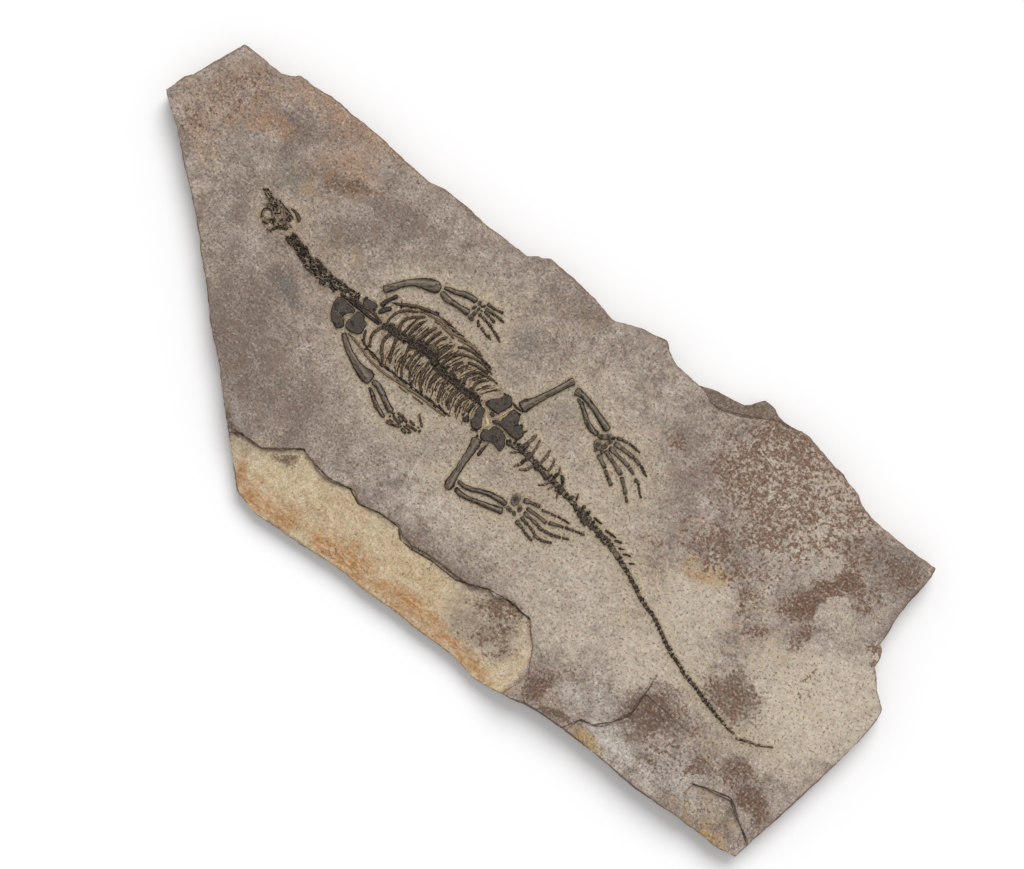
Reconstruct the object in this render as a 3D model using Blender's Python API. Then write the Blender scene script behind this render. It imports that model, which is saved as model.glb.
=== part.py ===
# Claudiosaurus fossil: a small reptile's skeleton lying in an irregular slab of layered mudstone.
# X runs along the slab from the skull end to the tail end, Y across it, and Z is up.
# All the lengths in this file are millimetres, and MM turns them into metres.

import math

import bpy
import bmesh

MM = 0.001

# The slab
slabThick = 22.0        # full thickness of the stone
layerDepth = 3.5        # how far the yellow layer lies under the top face
layerDip = 10.0         # how far it has dropped at the slab's edge
secondStepDepth = 1.4
thirdStepDepth = 2.6
shelfDepth = 9.0        # the broken shelf at the far long edge
ringLevels = (0.0, 7.0, 16.0, 22.0)
ringInsets = (3.0, 0.6, 0.0, 1.5)

# The skeleton
boneGap = 0.3           # between the stone's face and a bone's flat underside
longBoneHeight = 3.4
plateHeight = 2.2
skullHeight = 2.4
vertebraHeight = 3.0
ribHeight = 1.6
digitHeight = 1.8
orbitRadius = 3.4

boneBase = slabThick + boneGap


def clearScene():
    for thing in list(bpy.data.objects):
        bpy.data.objects.remove(thing, do_unlink=True)


def material(name, colour, roughness):
    made = bpy.data.materials.new(name)
    made.use_nodes = True
    shader = made.node_tree.nodes["Principled BSDF"]
    shader.inputs["Base Color"].default_value = (*colour, 1.0)
    shader.inputs["Roughness"].default_value = roughness
    shader.inputs["Metallic"].default_value = 0.0
    made.diffuse_color = (*colour, 1.0)
    return made


def objectFrom(bm, name, slot, smooth=False):
    """Turns a bmesh in millimetres into an object whose origin is at its own middle."""
    low = [min(v.co[i] for v in bm.verts) for i in range(3)]
    high = [max(v.co[i] for v in bm.verts) for i in range(3)]
    origin = [(low[0] + high[0]) / 2, (low[1] + high[1]) / 2, low[2]]
    bmesh.ops.translate(bm, verts=bm.verts, vec=[-c for c in origin])
    bmesh.ops.scale(bm, verts=bm.verts, vec=(MM, MM, MM))
    bmesh.ops.triangulate(bm, faces=bm.faces)
    bmesh.ops.recalc_face_normals(bm, faces=bm.faces)
    mesh = bpy.data.meshes.new(name)
    bm.to_mesh(mesh)
    bm.free()
    for face in mesh.polygons:
        face.use_smooth = smooth
    made = bpy.data.objects.new(name, mesh)
    made.location = [c * MM for c in origin]
    bpy.context.scene.collection.objects.link(made)
    mesh.materials.append(slot)
    return made


def applyModifiers(thing):
    bpy.context.view_layer.update()
    bpy.ops.object.select_all(action="DESELECT")
    bpy.context.view_layer.objects.active = thing
    thing.select_set(True)
    for modifier in list(thing.modifiers):
        bpy.ops.object.modifier_apply(modifier=modifier.name)


def combine(main, others, operation):
    """Joins the others to the main object, or cuts them out of it, and then removes them."""
    group = bpy.data.collections.new("helpers")
    bpy.context.scene.collection.children.link(group)
    for n, other in enumerate(others):
        bpy.context.scene.collection.objects.unlink(other)
        group.objects.link(other)
        if operation == "UNION":
            other.location.z += (0.03 + 0.035 * (n % 8)) * MM    # so that no two undersides lie in one plane
        other.hide_render = True
        other.display_type = "WIRE"
    boolean = main.modifiers.new(operation.lower(), "BOOLEAN")
    boolean.operation = operation
    boolean.operand_type = "COLLECTION"
    boolean.collection = group
    boolean.solver = "EXACT"
    applyModifiers(main)
    for other in others:
        bpy.data.objects.remove(other, do_unlink=True)
    bpy.data.collections.remove(group)
    return main


# Shapes that the bones are made of

def closedStack(bm, rings):
    """Bridges each ring of points to the next and closes both ends."""
    count = len(rings[0])
    for one, two in zip(rings, rings[1:]):
        for n in range(count):
            m = (n + 1) % count
            bm.faces.new((one[n], one[m], two[m], two[n]))
    bm.faces.new(rings[0])
    bm.faces.new(rings[-1])


def taperedPlate(name, outline, height, slot, base=boneBase, shrink=0.86):
    """A flat-bottomed plate that draws in to a slightly narrower top."""
    middleX = sum(x for x, y in outline) / len(outline)
    middleY = sum(y for x, y in outline) / len(outline)
    bm = bmesh.new()
    rings = []
    for level, size in ((0.0, 1.0), (height, shrink)):
        rings.append([bm.verts.new((middleX + (x - middleX) * size, middleY + (y - middleY) * size,
                                    base + level)) for x, y in outline])
    closedStack(bm, rings)
    return objectFrom(bm, name, slot)


def lump(name, x, y, rx, ry, height, slot, corners=7):
    """A small rounded bone: an oval that narrows upwards."""
    outline = []
    for n in range(corners):
        turn = 2 * math.pi * (n + 0.5) / corners
        outline.append((x + rx * math.cos(turn), y + ry * math.sin(turn)))
    return taperedPlate(name, outline, height, slot, shrink=0.66)


def rod(name, stations, height, slot, thin=False, capLength=1.0, buriedStart=False, buriedEnd=False):
    """A bone that follows its stations (x, y, width): flat below and rounded above, with closed ends.
    An end that is buried in another bone has no taper."""
    def towards(a, b):
        dx, dy = b[0] - a[0], b[1] - a[1]
        reach = math.hypot(dx, dy)
        return dx / reach, dy / reach

    def sized(width):
        return min(height, 0.72 * width)

    dx, dy = towards(stations[1], stations[0])
    x, y, width = stations[0]
    cap = min(0.3 * width, capLength)
    path = [] if buriedStart else [(x + dx * cap, y + dy * cap, 0.56 * width, 0.6 * sized(width))]
    path += [(x, y, width, sized(width)) for x, y, width in stations]
    dx, dy = towards(stations[-2], stations[-1])
    x, y, width = stations[-1]
    cap = min(0.3 * width, capLength)
    if not buriedEnd:
        path.append((x + dx * cap, y + dy * cap, 0.56 * width, 0.6 * sized(width)))
    if thin:
        section = ((-0.5, 0.0), (-0.28, 0.92), (0.28, 0.92), (0.5, 0.0))
    else:
        section = ((-0.5, 0.0), (-0.43, 0.62), (0.0, 1.0), (0.43, 0.62), (0.5, 0.0))
    bm = bmesh.new()
    rings = []
    for n, (x, y, width, rise) in enumerate(path):
        dx, dy = towards(path[max(n - 1, 0)], path[min(n + 1, len(path) - 1)])
        rings.append([bm.verts.new((x - dy * side * width, y + dx * side * width, boneBase + up * rise))
                      for side, up in section])
    closedStack(bm, rings)
    return objectFrom(bm, name, slot, smooth=not thin)


def beaded(centres, pinch=0.6, plainWidth=0.0):
    """Widths along a row of vertebrae: full over each one and pinched at each joint.
    Those narrower than plainWidth have one station at the middle."""
    stations = []
    for n, (x, y, width) in enumerate(centres):
        if n:
            px, py, before = centres[n - 1]
            if width > plainWidth:
                stations.append((px + (x - px) * 0.32, py + (y - py) * 0.32, before))
            stations.append(((px + x) / 2, (py + y) / 2, pinch * min(before, width)))
            if width > plainWidth:
                stations.append((px + (x - px) * 0.68, py + (y - py) * 0.68, width))
            else:
                stations.append((x, y, width))
        else:
            stations.append((x, y, 0.9 * width))
    x, y, width = centres[-1]
    if width > plainWidth:
        stations.append((x, y, 0.9 * width))
    return stations


# The slab of stone

outline = [
    (-351.2, 135.4), (-340, 136.1), (-325.8, 135), (-313.5, 135), (-306, 138.1), (-299.9, 142.4),
    (-294.3, 142.9), (-286.3, 141.9), (-277.7, 143.2), (-269.7, 144.4), (-258, 144.3), (-250, 143.3),
    (-237, 143), (-216.6, 141.6), (-195, 138.8), (-174.2, 137.3), (-165, 137.2), (-155, 140),
    (-151.7, 140.5), (-140, 139.3), (-125.8, 139), (-121.7, 137.8), (-110, 136.8), (-90, 136.8),
    (-68.3, 136.2), (-60.8, 141.7), (-57.5, 142.3), (-51.7, 145.8), (-38.3, 145.3), (-20, 144),
    (-5, 142), (6.7, 139.2), (15.8, 136.7), (20, 137.2), (26.7, 140.5), (40, 145.6), (51, 147.2),
    (62.2, 149.5), (64.3, 148.6), (69.2, 144.3), (74.8, 141.9), (81.8, 138.8), (90.2, 138.4),
    (98.6, 137.1), (103.5, 136.9), (109.8, 138.8), (119.6, 142.2), (133.6, 144.4), (143.4, 146.7),
    (149, 151.7), (151.8, 155.9), (155, 159.8), (160.2, 159.8), (165.1, 158.8), (170, 155.8),
    (176.3, 154.9), (184, 155.5), (191, 156.6), (198, 157), (203.6, 155.6), (213.4, 154.1),
    (230.2, 150.4), (240, 149.2), (247.2, 146.6), (254, 145.1), (259.9, 143.4), (265.9, 138.9),
    (272.1, 137), (280.1, 135), (288, 134.5), (305, 133.2), (316.3, 133), (331, 133.1),
    (343.8, 133.3), (345, 127.3), (345, 120.5), (344.4, 112.6), (343, 96.7), (343.1, 86.5),
    (343.5, 77.5), (345.6, 65), (345.2, 58.8), (349.8, 53.7), (351.5, 50.3), (352.4, 41.2),
    (356, 37.5), (366.2, 26.5), (371.9, 22.5), (378.1, 18), (379.4, 14), (379.5, 8.3),
    (379.5, -3.6), (378.4, -16.5), (375.7, -30.8), (372.9, -46.2), (370.2, -66), (366.3, -86.9),
    (361.4, -113.3), (358.8, -126.5), (355.3, -147.9), (349.8, -149), (335.5, -150.7),
    (325.6, -149.8), (303.6, -150.2), (275, -150.9), (258.5, -151.6), (242, -151.2), (220, -149.7),
    (184, -148.7), (160, -150), (145.3, -152), (134.7, -155.3), (125.3, -156), (110.7, -158.7),
    (100, -159.3), (85.3, -157.1), (77.3, -155.7), (53.3, -155.7), (40, -156.1), (15, -154.9),
    (0, -155.5), (-15, -156.3), (-30, -154.9), (-48, -155.2), (-75, -157), (-90, -158.1),
    (-105, -158.8), (-117, -159.8), (-124.5, -158.8), (-138, -154.8), (-142.5, -151.8),
    (-154.5, -139.8), (-165, -129.8), (-180.8, -114.4), (-200.4, -94.5), (-209.4, -84.7),
    (-220, -75.2), (-232.3, -65.1), (-241.3, -55.9), (-254.3, -42.2), (-263.3, -32.7),
    (-270.7, -25.4), (-278.8, -18.3), (-285.4, -10.3), (-293.5, -2.5), (-305, 8.1), (-313.1, 15),
    (-322.1, 22), (-337.6, 34.8), (-345.8, 42.8), (-352.3, 48.5), (-367, 58.8), (-375.2, 65.3),
    (-379.5, 69.4), (-377.8, 74.8), (-373.9, 85.9), (-369, 92.7), (-364.6, 105), (-358.5, 119.2),
    (-355.4, 126),
]

# Where the top layer ends along the near long edge, from the slanting edge to the soft end.
layerEdge = [
    (-178, -124), (-174.3, -120.6), (-170, -116.5), (-165, -113.5), (-157.5, -115), (-145.5, -114),
    (-138, -109.3), (-130.5, -104.8), (-124.5, -98.8), (-117.5, -93.6), (-113.3, -97.3), (-106.5, -97.8),
    (-99, -101.2), (-92.3, -102.6), (-79.5, -100.6), (-69, -96.6), (-65.3, -96.4), (-57, -101.8),
    (-46.5, -101.2), (-40.5, -98.5), (-30, -98.2), (-20.3, -96.7), (-13.5, -102), (-2.3, -103.9),
    (9, -101.8), (30, -101.1), (40.5, -101.8), (52.5, -101.2), (62.7, -96.7), (68, -94.7),
    (75.3, -97.3), (84, -92.3), (91.3, -91.1), (100, -93.6), (108, -93.3), (114.7, -101.3),
    (124, -110.7), (130.7, -123.3), (133.3, -129.3), (132, -140), (126, -156), (124, -162),
]
layerFoot = [
    (-186, -132), (-184, -134), (-180, -138), (-176, -142), (-170, -148), (-162, -156),
    (-152, -164), (-141, -168), (-130, -170), (-119, -171), (-112, -171), (-105, -171),
    (-98, -171), (-91, -171), (-79, -171), (-70, -171), (-63, -171), (-56, -171),
    (-47, -171), (-39, -171), (-30, -171), (-21, -171), (-12, -171), (-2, -171),
    (9, -171), (28, -171), (40, -171), (51, -171), (60, -171), (66, -171),
    (73, -171), (81, -171), (88, -171), (95, -171), (101, -171), (105, -171),
    (109, -171), (112, -171), (115, -171), (118, -171), (121, -171), (123, -171),
]
# The step fades out at the layer's far end: its depth there, at the edge and at the foot
layerFade = [(3.1, 9.0), (2.6, 8.0), (2.0, 6.0), (1.4, 4.4), (1.1, 3.4), (0.8, 2.4), (0.6, 1.6), (0.6, 1.2)]
secondStep = [(183, -153), (186, -142.7), (189.3, -133), (200, -132), (208, -126), (212, -117.3),
              (218, -105.3), (216, -93.3), (219.3, -86)]
thirdStep = [(304, -153), (298, -140), (290.4, -131), (292, -121), (301.4, -117.5), (310.2, -116.3),
             (320.1, -114.2), (324.5, -113.3), (331.1, -118.3), (341, -123.8), (353.1, -129.8), (362, -137)]
shelfEdge = [(100, 139), (104.5, 136), (110.5, 135.3), (115.4, 133.9), (118.2, 131.4), (123.1, 129.7),
             (129.4, 130), (144.8, 135.9), (153.2, 140.1), (161.6, 145.7), (172.8, 151), (179.8, 151.7),
             (188.2, 154.2), (194, 158)]


def slabBlock(slot):
    """The stone's outline carried up through its uneven broken side."""
    bm = bmesh.new()
    halfLength = max(abs(x) for x, y in outline)
    halfWidth = max(abs(y) for x, y in outline)
    rings = []
    for level, inset in zip(ringLevels, ringInsets):
        ring = []
        for n, (x, y) in enumerate(outline):
            chip = 0.0
            if inset:
                chip = 0.45 * math.sin(n * 1.7 + level) + 0.35 * math.sin(n * 0.63 + 2.1 * level)
            ring.append(bm.verts.new((x * (1 - (inset + chip) / halfLength),
                                      y * (1 - (inset + chip) / halfWidth), level)))
        rings.append(ring)
    closedStack(bm, rings)
    return objectFrom(bm, "matrix_slab", slot)


def wedge(name, nearLine, farLine, depths, slot):
    """A cutter between two lines, with a depth below the slab's top for each point of each line."""
    bm = bmesh.new()
    rings = []
    for (ax, ay), (bx, by), (nearDepth, farDepth) in zip(nearLine, farLine, depths):
        rings.append([bm.verts.new((ax, ay, slabThick - nearDepth)), bm.verts.new((ax, ay, slabThick + 6)),
                      bm.verts.new((bx, by, slabThick + 6)), bm.verts.new((bx, by, slabThick - farDepth))])
    closedStack(bm, rings)
    return objectFrom(bm, name, slot)


def makeSlab(slot):
    slab = slabBlock(slot)
    layerDepths = [(layerDepth, layerDip)] * (len(layerEdge) - len(layerFade)) + layerFade
    yellowLayer = wedge("yellow_layer_cut", layerEdge, layerFoot, layerDepths, slot)
    secondFar = [(300, -153), (300, -146), (300, -139), (300, -132), (300, -125), (300, -117),
                 (300, -109), (300, -101), (300, -93)]
    secondDepths = [(secondStepDepth, -0.4)] * len(secondStep)
    second = wedge("second_step_cut", secondStep, secondFar, secondDepths, slot)
    thirdFar = [(305, -166), (309, -166), (313, -166), (317, -166), (321, -166), (326, -166),
                (332, -166), (338, -166), (345, -166), (352, -166), (360, -166), (368, -166)]
    thirdDepths = [(thirdStepDepth, thirdStepDepth + 0.8)] * len(thirdStep)
    third = wedge("third_step_cut", thirdStep, thirdFar, thirdDepths, slot)
    shelfFar = [(x + 1, 172 + 0.1 * n) for n, (x, y) in enumerate(shelfEdge)]
    shelf = wedge("shelf_cut", shelfEdge, shelfFar, [(shelfDepth, shelfDepth + 0.6)] * len(shelfEdge), slot)
    return combine(slab, [yellowLayer, second, third, shelf], "DIFFERENCE")


# The head and neck

def makeHead(grey, dark):
    skullOutline = [
        (-269.8, 52.2), (-266.7, 54.3), (-261.3, 53.2), (-257, 52), (-253.5, 53.2), (-249, 52.6),
        (-244, 50.6), (-239, 50), (-235.2, 48.6), (-234.6, 46.8), (-236.8, 44.5), (-234.5, 43.2),
        (-231.4, 41.4), (-233.8, 39.5), (-233.5, 36.5), (-236.5, 35), (-240, 33), (-242.3, 29.8),
        (-244.2, 27.8), (-247.5, 27.5), (-247.5, 29), (-244.8, 30.5), (-243.6, 32.6), (-245.5, 34.2),
        (-248, 33.8), (-249, 31.2), (-252.7, 30.2), (-254.6, 30.9), (-254.8, 32.4), (-256.5, 33.2),
        (-259, 35.5), (-259.5, 38.5), (-258.6, 41.5), (-257, 43), (-258.8, 44), (-260.2, 47.3),
        (-263, 48.7), (-265.5, 50),
    ]
    skull = taperedPlate("skull", skullOutline, skullHeight, dark, shrink=0.94)
    turns = [n * math.pi / 6 for n in range(12)]
    eyeOutline = [(-253.7 + orbitRadius * math.cos(a), 38.2 + orbitRadius * math.sin(a)) for a in turns]
    eye = taperedPlate("orbit_cut", eyeOutline, 3 * skullHeight, dark, base=boneBase - 1, shrink=1.0)
    combine(skull, [eye], "DIFFERENCE")
    rod("lower_jaw", [(-240.7, 53.0, 1.4), (-236.7, 53.0, 1.6), (-233.8, 51.8, 2.4), (-230.8, 49.6, 3.0)],
        1.6, dark)
    rod("neck_vertebrae", beaded([
        (-231.2, 32.4, 4.0), (-226.4, 33.7, 8.6), (-219, 33, 8.6), (-212.5, 30.5, 10.5), (-205, 27.5, 9.5),
        (-198.5, 27.2, 11.5), (-192, 26.4, 11.5), (-185.5, 24.5, 11.5), (-177, 25, 8.6), (-168.5, 28.3, 6.0),
        (-161.5, 28.6, 5.8), (-156, 29, 6.2)], pinch=0.74), vertebraHeight, dark)


# The shoulder girdle and the arms

def makeShoulders(grey, dark):
    taperedPlate("right_coracoid", [(-150.7, 28.3), (-149.7, 32.3), (-141.3, 33.3), (-139.2, 32.2),
                                  (-140.7, 27), (-149.3, 26)], plateHeight, dark)
    rod("interclavicle", [(-168.4, 22.6, 1.8), (-158, 22.3, 2.1), (-146, 22, 2.2), (-130.4, 21.5, 2.0)],
        1.6, dark)
    taperedPlate("left_scapula", [
        (-169.3, 19.7), (-166.7, 20.6), (-152.2, 19.6), (-151.0, 17.7), (-156, 13), (-157.3, 11),
        (-157.3, 9), (-154, 7.7), (-151.7, 3.3), (-152.2, 1.3), (-154.7, -1), (-156.7, -1.3),
        (-160, 0.7), (-163.3, 2.7), (-166, 5.7), (-168, 9.7), (-169.3, 15)], plateHeight, grey, shrink=0.93)
    taperedPlate("left_coracoid", [
        (-149.8, 19.5), (-142.7, 19.3), (-141.3, 17), (-138.7, 16.3), (-137.7, 15), (-136.9, 9.7),
        (-136.9, 7), (-138.7, 5), (-142, 4), (-144.7, 3), (-147.3, 3.3), (-150.2, 3.9),
        (-151.2, 6.3), (-151.4, 9.7), (-150.1, 13), (-149.8, 17)], plateHeight, grey, shrink=0.93)
    rod("right_scapula", [(-131.8, 48, 3.0), (-134, 44, 2.6), (-136, 39.5, 3.0), (-137.1, 35.4, 3.2)],
        2.2, grey)
    rod("right_scapula_fragment", [(-130.3, 37, 3.4), (-133, 33.6, 4.0), (-135.2, 29.8, 3.2)], 2.2, dark)


def makeArms(grey, dark):
    rod("right_humerus", [(-143, 46.5, 6), (-138.5, 52.5, 5.5), (-134, 59, 5), (-129, 64, 5.5),
                          (-123, 68, 8), (-117, 71, 10.5), (-112, 72.3, 10.8), (-108.4, 72.5, 8)],
        longBoneHeight, grey)
    rod("right_radius", [(-105.2, 76.5, 2.6), (-100, 78, 3.4), (-95, 79.3, 3.8), (-90, 82, 5),
                         (-84, 83, 4.5), (-79.4, 83.2, 4.2)], 2.6, grey)
    rod("right_ulna", [(-104.2, 71.8, 4.6), (-99, 70.3, 5.4), (-93, 70.8, 4.6), (-87, 71.2, 3.6),
                       (-82, 71.8, 5), (-78.9, 72, 6)], 2.8, grey)
    rod("left_humerus", [(-147.5, -2, 4), (-142, -5.5, 5), (-137, -9.3, 5), (-131, -12, 5.5),
                         (-124.5, -15, 7), (-118, -16.7, 9.5), (-112.5, -17.3, 12), (-108.7, -17.2, 9.4)],
        longBoneHeight, grey)
    rod("left_ulna", [(-105.3, -17.6, 4.5), (-100.5, -18.2, 5.2), (-95, -20.6, 5), (-89, -24.2, 4.6),
                      (-84, -26.9, 5), (-80.8, -27.9, 6)], 2.8, grey)
    rod("left_radius", [(-105.3, -23.6, 2.3), (-102, -25.2, 3), (-97, -28.8, 3.6), (-92, -32, 3.6),
                        (-87, -33.8, 3.2), (-82.5, -35.2, 2.6)], 2.4, grey)


def makeHands(grey, dark):
    carpals = [(-75.7, 83.4, 2.1, 2.5), (-72.8, 82.4, 1.8, 1.8), (-70.9, 84.1, 1.7, 1.7),
               (-76.4, 79.0, 1.8, 2.6), (-73.6, 79.6, 2.0, 2.0), (-70.6, 80.1, 1.6, 1.6),
               (-74.1, 75.4, 2.1, 2.9), (-70.6, 76.3, 2.2, 1.9), (-73.4, 70.9, 2.5, 2.6)]
    digits = [
        [(-70.7, 85.3, 2.2), (-67.5, 87, 2.1), (-64.2, 87, 1.5), (-62.4, 87, 2.1), (-59.7, 88.1, 1.4),
         (-56.3, 88.7, 1.6)],
        [(-70.4, 82.9, 2.4), (-66, 82.7, 1.8), (-61.8, 83.1, 2.0), (-59.4, 83.4, 1.3), (-57.2, 83.5, 2.1),
         (-53.9, 83.3, 1.4), (-50.7, 82.7, 1.6)],
        [(-69.9, 80.6, 2.2), (-66.5, 80.1, 1.6), (-63, 79.3, 1.9), (-60.5, 79, 1.2), (-57.6, 78.7, 1.6)],
        [(-69.9, 77.2, 2.4), (-66.5, 76.8, 2.0), (-61.6, 75, 1.7), (-57.2, 73.8, 2.1), (-54.4, 72.9, 1.4),
         (-50.7, 71.5, 2.0), (-46.9, 69.9, 1.4), (-43.5, 68.3, 1.4)],
        [(-72.2, 71.4, 2.4), (-69.6, 71.2, 2.4), (-66.6, 69.4, 2.6), (-63, 68.2, 2.0), (-59.6, 67.6, 2.2),
         (-56, 66.8, 1.6), (-50.3, 65.2, 1.4)],
    ]
    wrist = lump("right_hand", *carpals[0], 2.0, dark)
    rest = [lump("carpal", *place, 2.0, dark) for place in carpals[1:]]
    rest += [rod("digit", digit, digitHeight, dark, thin=True) for digit in digits]
    combine(wrist, rest, "UNION")

    palm = taperedPlate("left_hand", [
        (-78.5, -26), (-75, -24.8), (-70, -25.5), (-65.5, -27.5), (-63.6, -29.2), (-60.6, -28.4),
        (-56.6, -28.4), (-57.2, -31.8), (-58.8, -34.8), (-62, -36.2), (-65.6, -35.3), (-68.6, -33),
        (-74, -32.4), (-78.5, -31.5)], 1.9, dark, shrink=0.9)
    crushed = [rod("digit", [(-77.8, -37.6, 1.6), (-74, -36.4, 1.9), (-70, -35.2, 1.9), (-66.5, -34, 1.8)],
                   digitHeight, dark, thin=True),
               rod("digit", [(-60, -29.6, 1.8), (-56.5, -28.2, 2.0), (-54.2, -27.6, 1.6)],
                   digitHeight, dark, thin=True)]
    combine(palm, crushed, "UNION")
    rod("left_finger", [(-60.6, -16.8, 1.2), (-58.2, -19, 1.5), (-56, -20.9, 1.1), (-54.4, -22, 1.5),
                        (-53, -23.6, 1.2)], 1.2, dark, thin=True)


# The trunk: each rib grows from the backbone

def makeTrunk(grey, dark):
    spine = rod("backbone_and_ribs", beaded([
        (-125, 23.7, 5.2), (-118, 24.5, 5.4), (-111, 25.8, 5.4), (-104, 25.5, 5.2), (-97, 26, 5.2),
        (-90, 26.5, 5.4), (-83, 26.5, 5.8), (-76, 24.5, 5.6), (-69, 22.2, 5.4), (-62, 21, 5.2),
        (-55, 20.5, 5.4), (-48, 20.5, 5.2), (-41, 20.2, 5.2), (-34.5, 20.5, 5.0), (-29.6, 20.8, 4.4)],
        pinch=0.72), vertebraHeight, dark, thin=True)
    upperRibs = [
        [(-124.9, 24, 1.8), (-125.6, 30, 1.8), (-124.6, 36.5, 1.8), (-121.5, 41, 1.8), (-117.5, 44.5, 1.8),
         (-111, 47.8, 1.4)],
        [(-112.2, 25.5, 2.8), (-115, 28.8, 2.8), (-116, 33.5, 2.6), (-114.5, 39, 2.4), (-110, 43.8, 2.4),
         (-104, 48.2, 1.8)],
        [(-105, 25.6, 2.2), (-106, 34, 2.2), (-104.8, 40, 2.0), (-102.6, 44.6, 1.6)],
        [(-98, 26, 2.0), (-96.4, 34, 2.0), (-94.4, 41, 2.0), (-91.7, 46.6, 1.6)],
        [(-91.2, 26.6, 2.0), (-90, 36, 2.0), (-88.5, 42, 1.8), (-86.2, 46.4, 1.5)],
        [(-86.5, 26.6, 2.2), (-84.5, 37.5, 2.0), (-82.3, 42.6, 1.8), (-80.2, 45.4, 1.5)],
        [(-77.6, 25, 2.8), (-75.5, 36, 2.8), (-73.4, 42, 2.2)],
        [(-69.6, 22.4, 2.4), (-70, 30, 2.2), (-67.7, 36.3, 2.0), (-65, 39.7, 1.8), (-61.7, 42.1, 1.8),
         (-58.3, 43.9, 1.8), (-53.7, 45.4, 1.7), (-43.7, 46.3, 1.6), (-38.3, 45.4, 1.6), (-33.7, 44, 1.2)],
        [(-60.5, 21.2, 2.2), (-60.3, 32, 2.0), (-59.2, 35.4, 1.7), (-57.4, 37.2, 1.3)],
        [(-47, 21, 2.2), (-48.6, 29.7, 2.2), (-48.7, 33.7, 2.2), (-47.4, 35.9, 2.2), (-44.3, 37.8, 2.0),
         (-40.3, 39.6, 2.0), (-35, 40.3, 1.8), (-29, 40.7, 1.6), (-25.7, 40.3, 1.2)],
        [(-39.4, 21, 2.0), (-39, 32.3, 2.0), (-37.7, 35, 1.9), (-34.6, 36.9, 1.5)],
    ]
    lowerRibs = [
        [(-125.2, 23, 2.4), (-127.4, 18.6, 2.3), (-129.2, 14.5, 2.2), (-128.8, 9.5, 2.0), (-126.6, 5.4, 1.8),
         (-124.4, 3, 1.4)],
        [(-118.2, 24, 2.8), (-118.8, 14, 2.6), (-117.7, 9.5, 2.6), (-114.9, 5, 2.4), (-111.3, 1.3, 2.0),
         (-109.6, -0.7, 1.4)],
        [(-113.3, 24.8, 2.6), (-110, 15, 2.6), (-108.5, 10.5, 2.6), (-106.5, 5.5, 2.2), (-104.3, 2.2, 1.8)],
        [(-101, 25.2, 1.8), (-98.3, 15, 1.8), (-97, 11, 1.8), (-95, 6.3, 1.6), (-93, 2.3, 1.6),
         (-89.6, -1.7, 1.3)],
        [(-92.4, 26, 2.0), (-92.4, 15, 2.0), (-91.9, 11, 2.0), (-90.6, 7.2, 1.6)],
        [(-88.2, 26, 1.6), (-88.6, 11.7, 1.6), (-87, 5.7, 1.6), (-83.7, 1, 1.4), (-78, -2.6, 1.2)],
        [(-80.2, 26, 2.2), (-79, 15, 2.2), (-79, 11, 2.0), (-77.7, 7, 2.0), (-75, 3, 2.0), (-71, -0.3, 1.7),
         (-69.4, -1.3, 1.4)],
        [(-66, 22, 2.8), (-68, 13.7, 2.7), (-68.3, 9.7, 2.6), (-67.8, 5.4, 2.0)],
        [(-59.3, 21, 2.2), (-60, 12.3, 2.2), (-59, 8.3, 2.0), (-57, 4.3, 2.0), (-54.6, 0.2, 1.6)],
        [(-46, 20.4, 2.2), (-48.3, 14.3, 2.4), (-48.7, 9.7, 2.2), (-47.7, 5, 2.2), (-45.7, 1.9, 1.8),
         (-44.5, 0.5, 1.3)],
        [(-37, 20.2, 2.2), (-39.9, 14.3, 2.2), (-41.3, 10.3, 2.0), (-41, 6.3, 2.0), (-39.2, 2.6, 1.5)],
        [(-30.8, 20.4, 2.2), (-31.4, 13, 2.4), (-31.8, 8.8, 1.8)],
    ]
    ribs = [rod("rib", rib, ribHeight, dark, thin=True, buriedStart=True) for rib in upperRibs + lowerRibs]
    # Crushed bone that lies beside the middle of the backbone
    crushed = [(-92, 25.5), (-91.2, 29.8), (-88.4, 33.2), (-84.6, 35), (-80.2, 34.4), (-77.6, 31),
               (-76.6, 26)]
    ribs.append(taperedPlate("crushed_bone", crushed, 2.2, dark, shrink=0.85))
    combine(spine, ribs, "UNION")

    loose = {
        "right_first_rib": [(-128.5, 42.8, 1.6), (-121, 47.5, 2.0), (-113, 51.5, 2.0), (-105, 54.3, 2.2),
                            (-97.3, 55.6, 1.8)],
        "right_flank_rib": [(-67.8, 45, 1.5), (-65.7, 46.6, 1.5), (-61.7, 48, 1.5), (-56.3, 48.8, 1.5),
                            (-46.3, 48.8, 1.4), (-42.3, 48.3, 1.3), (-37.7, 47.5, 1.1)],
        "right_loin_rib": [(-54, 40.2, 1.4), (-51.7, 41, 1.7), (-47, 41.9, 1.7), (-41.7, 42.5, 1.6),
                           (-37, 42.6, 1.2)],
        "left_first_rib": [(-135, 11, 1.3), (-134.2, 8, 1.5), (-132, 4.2, 1.5), (-129.4, 1.4, 1.3)],
    }
    for name, stations in loose.items():
        rod(name, stations, ribHeight, dark, thin=True)


# The belly ribs, crowded together along each flank

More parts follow.
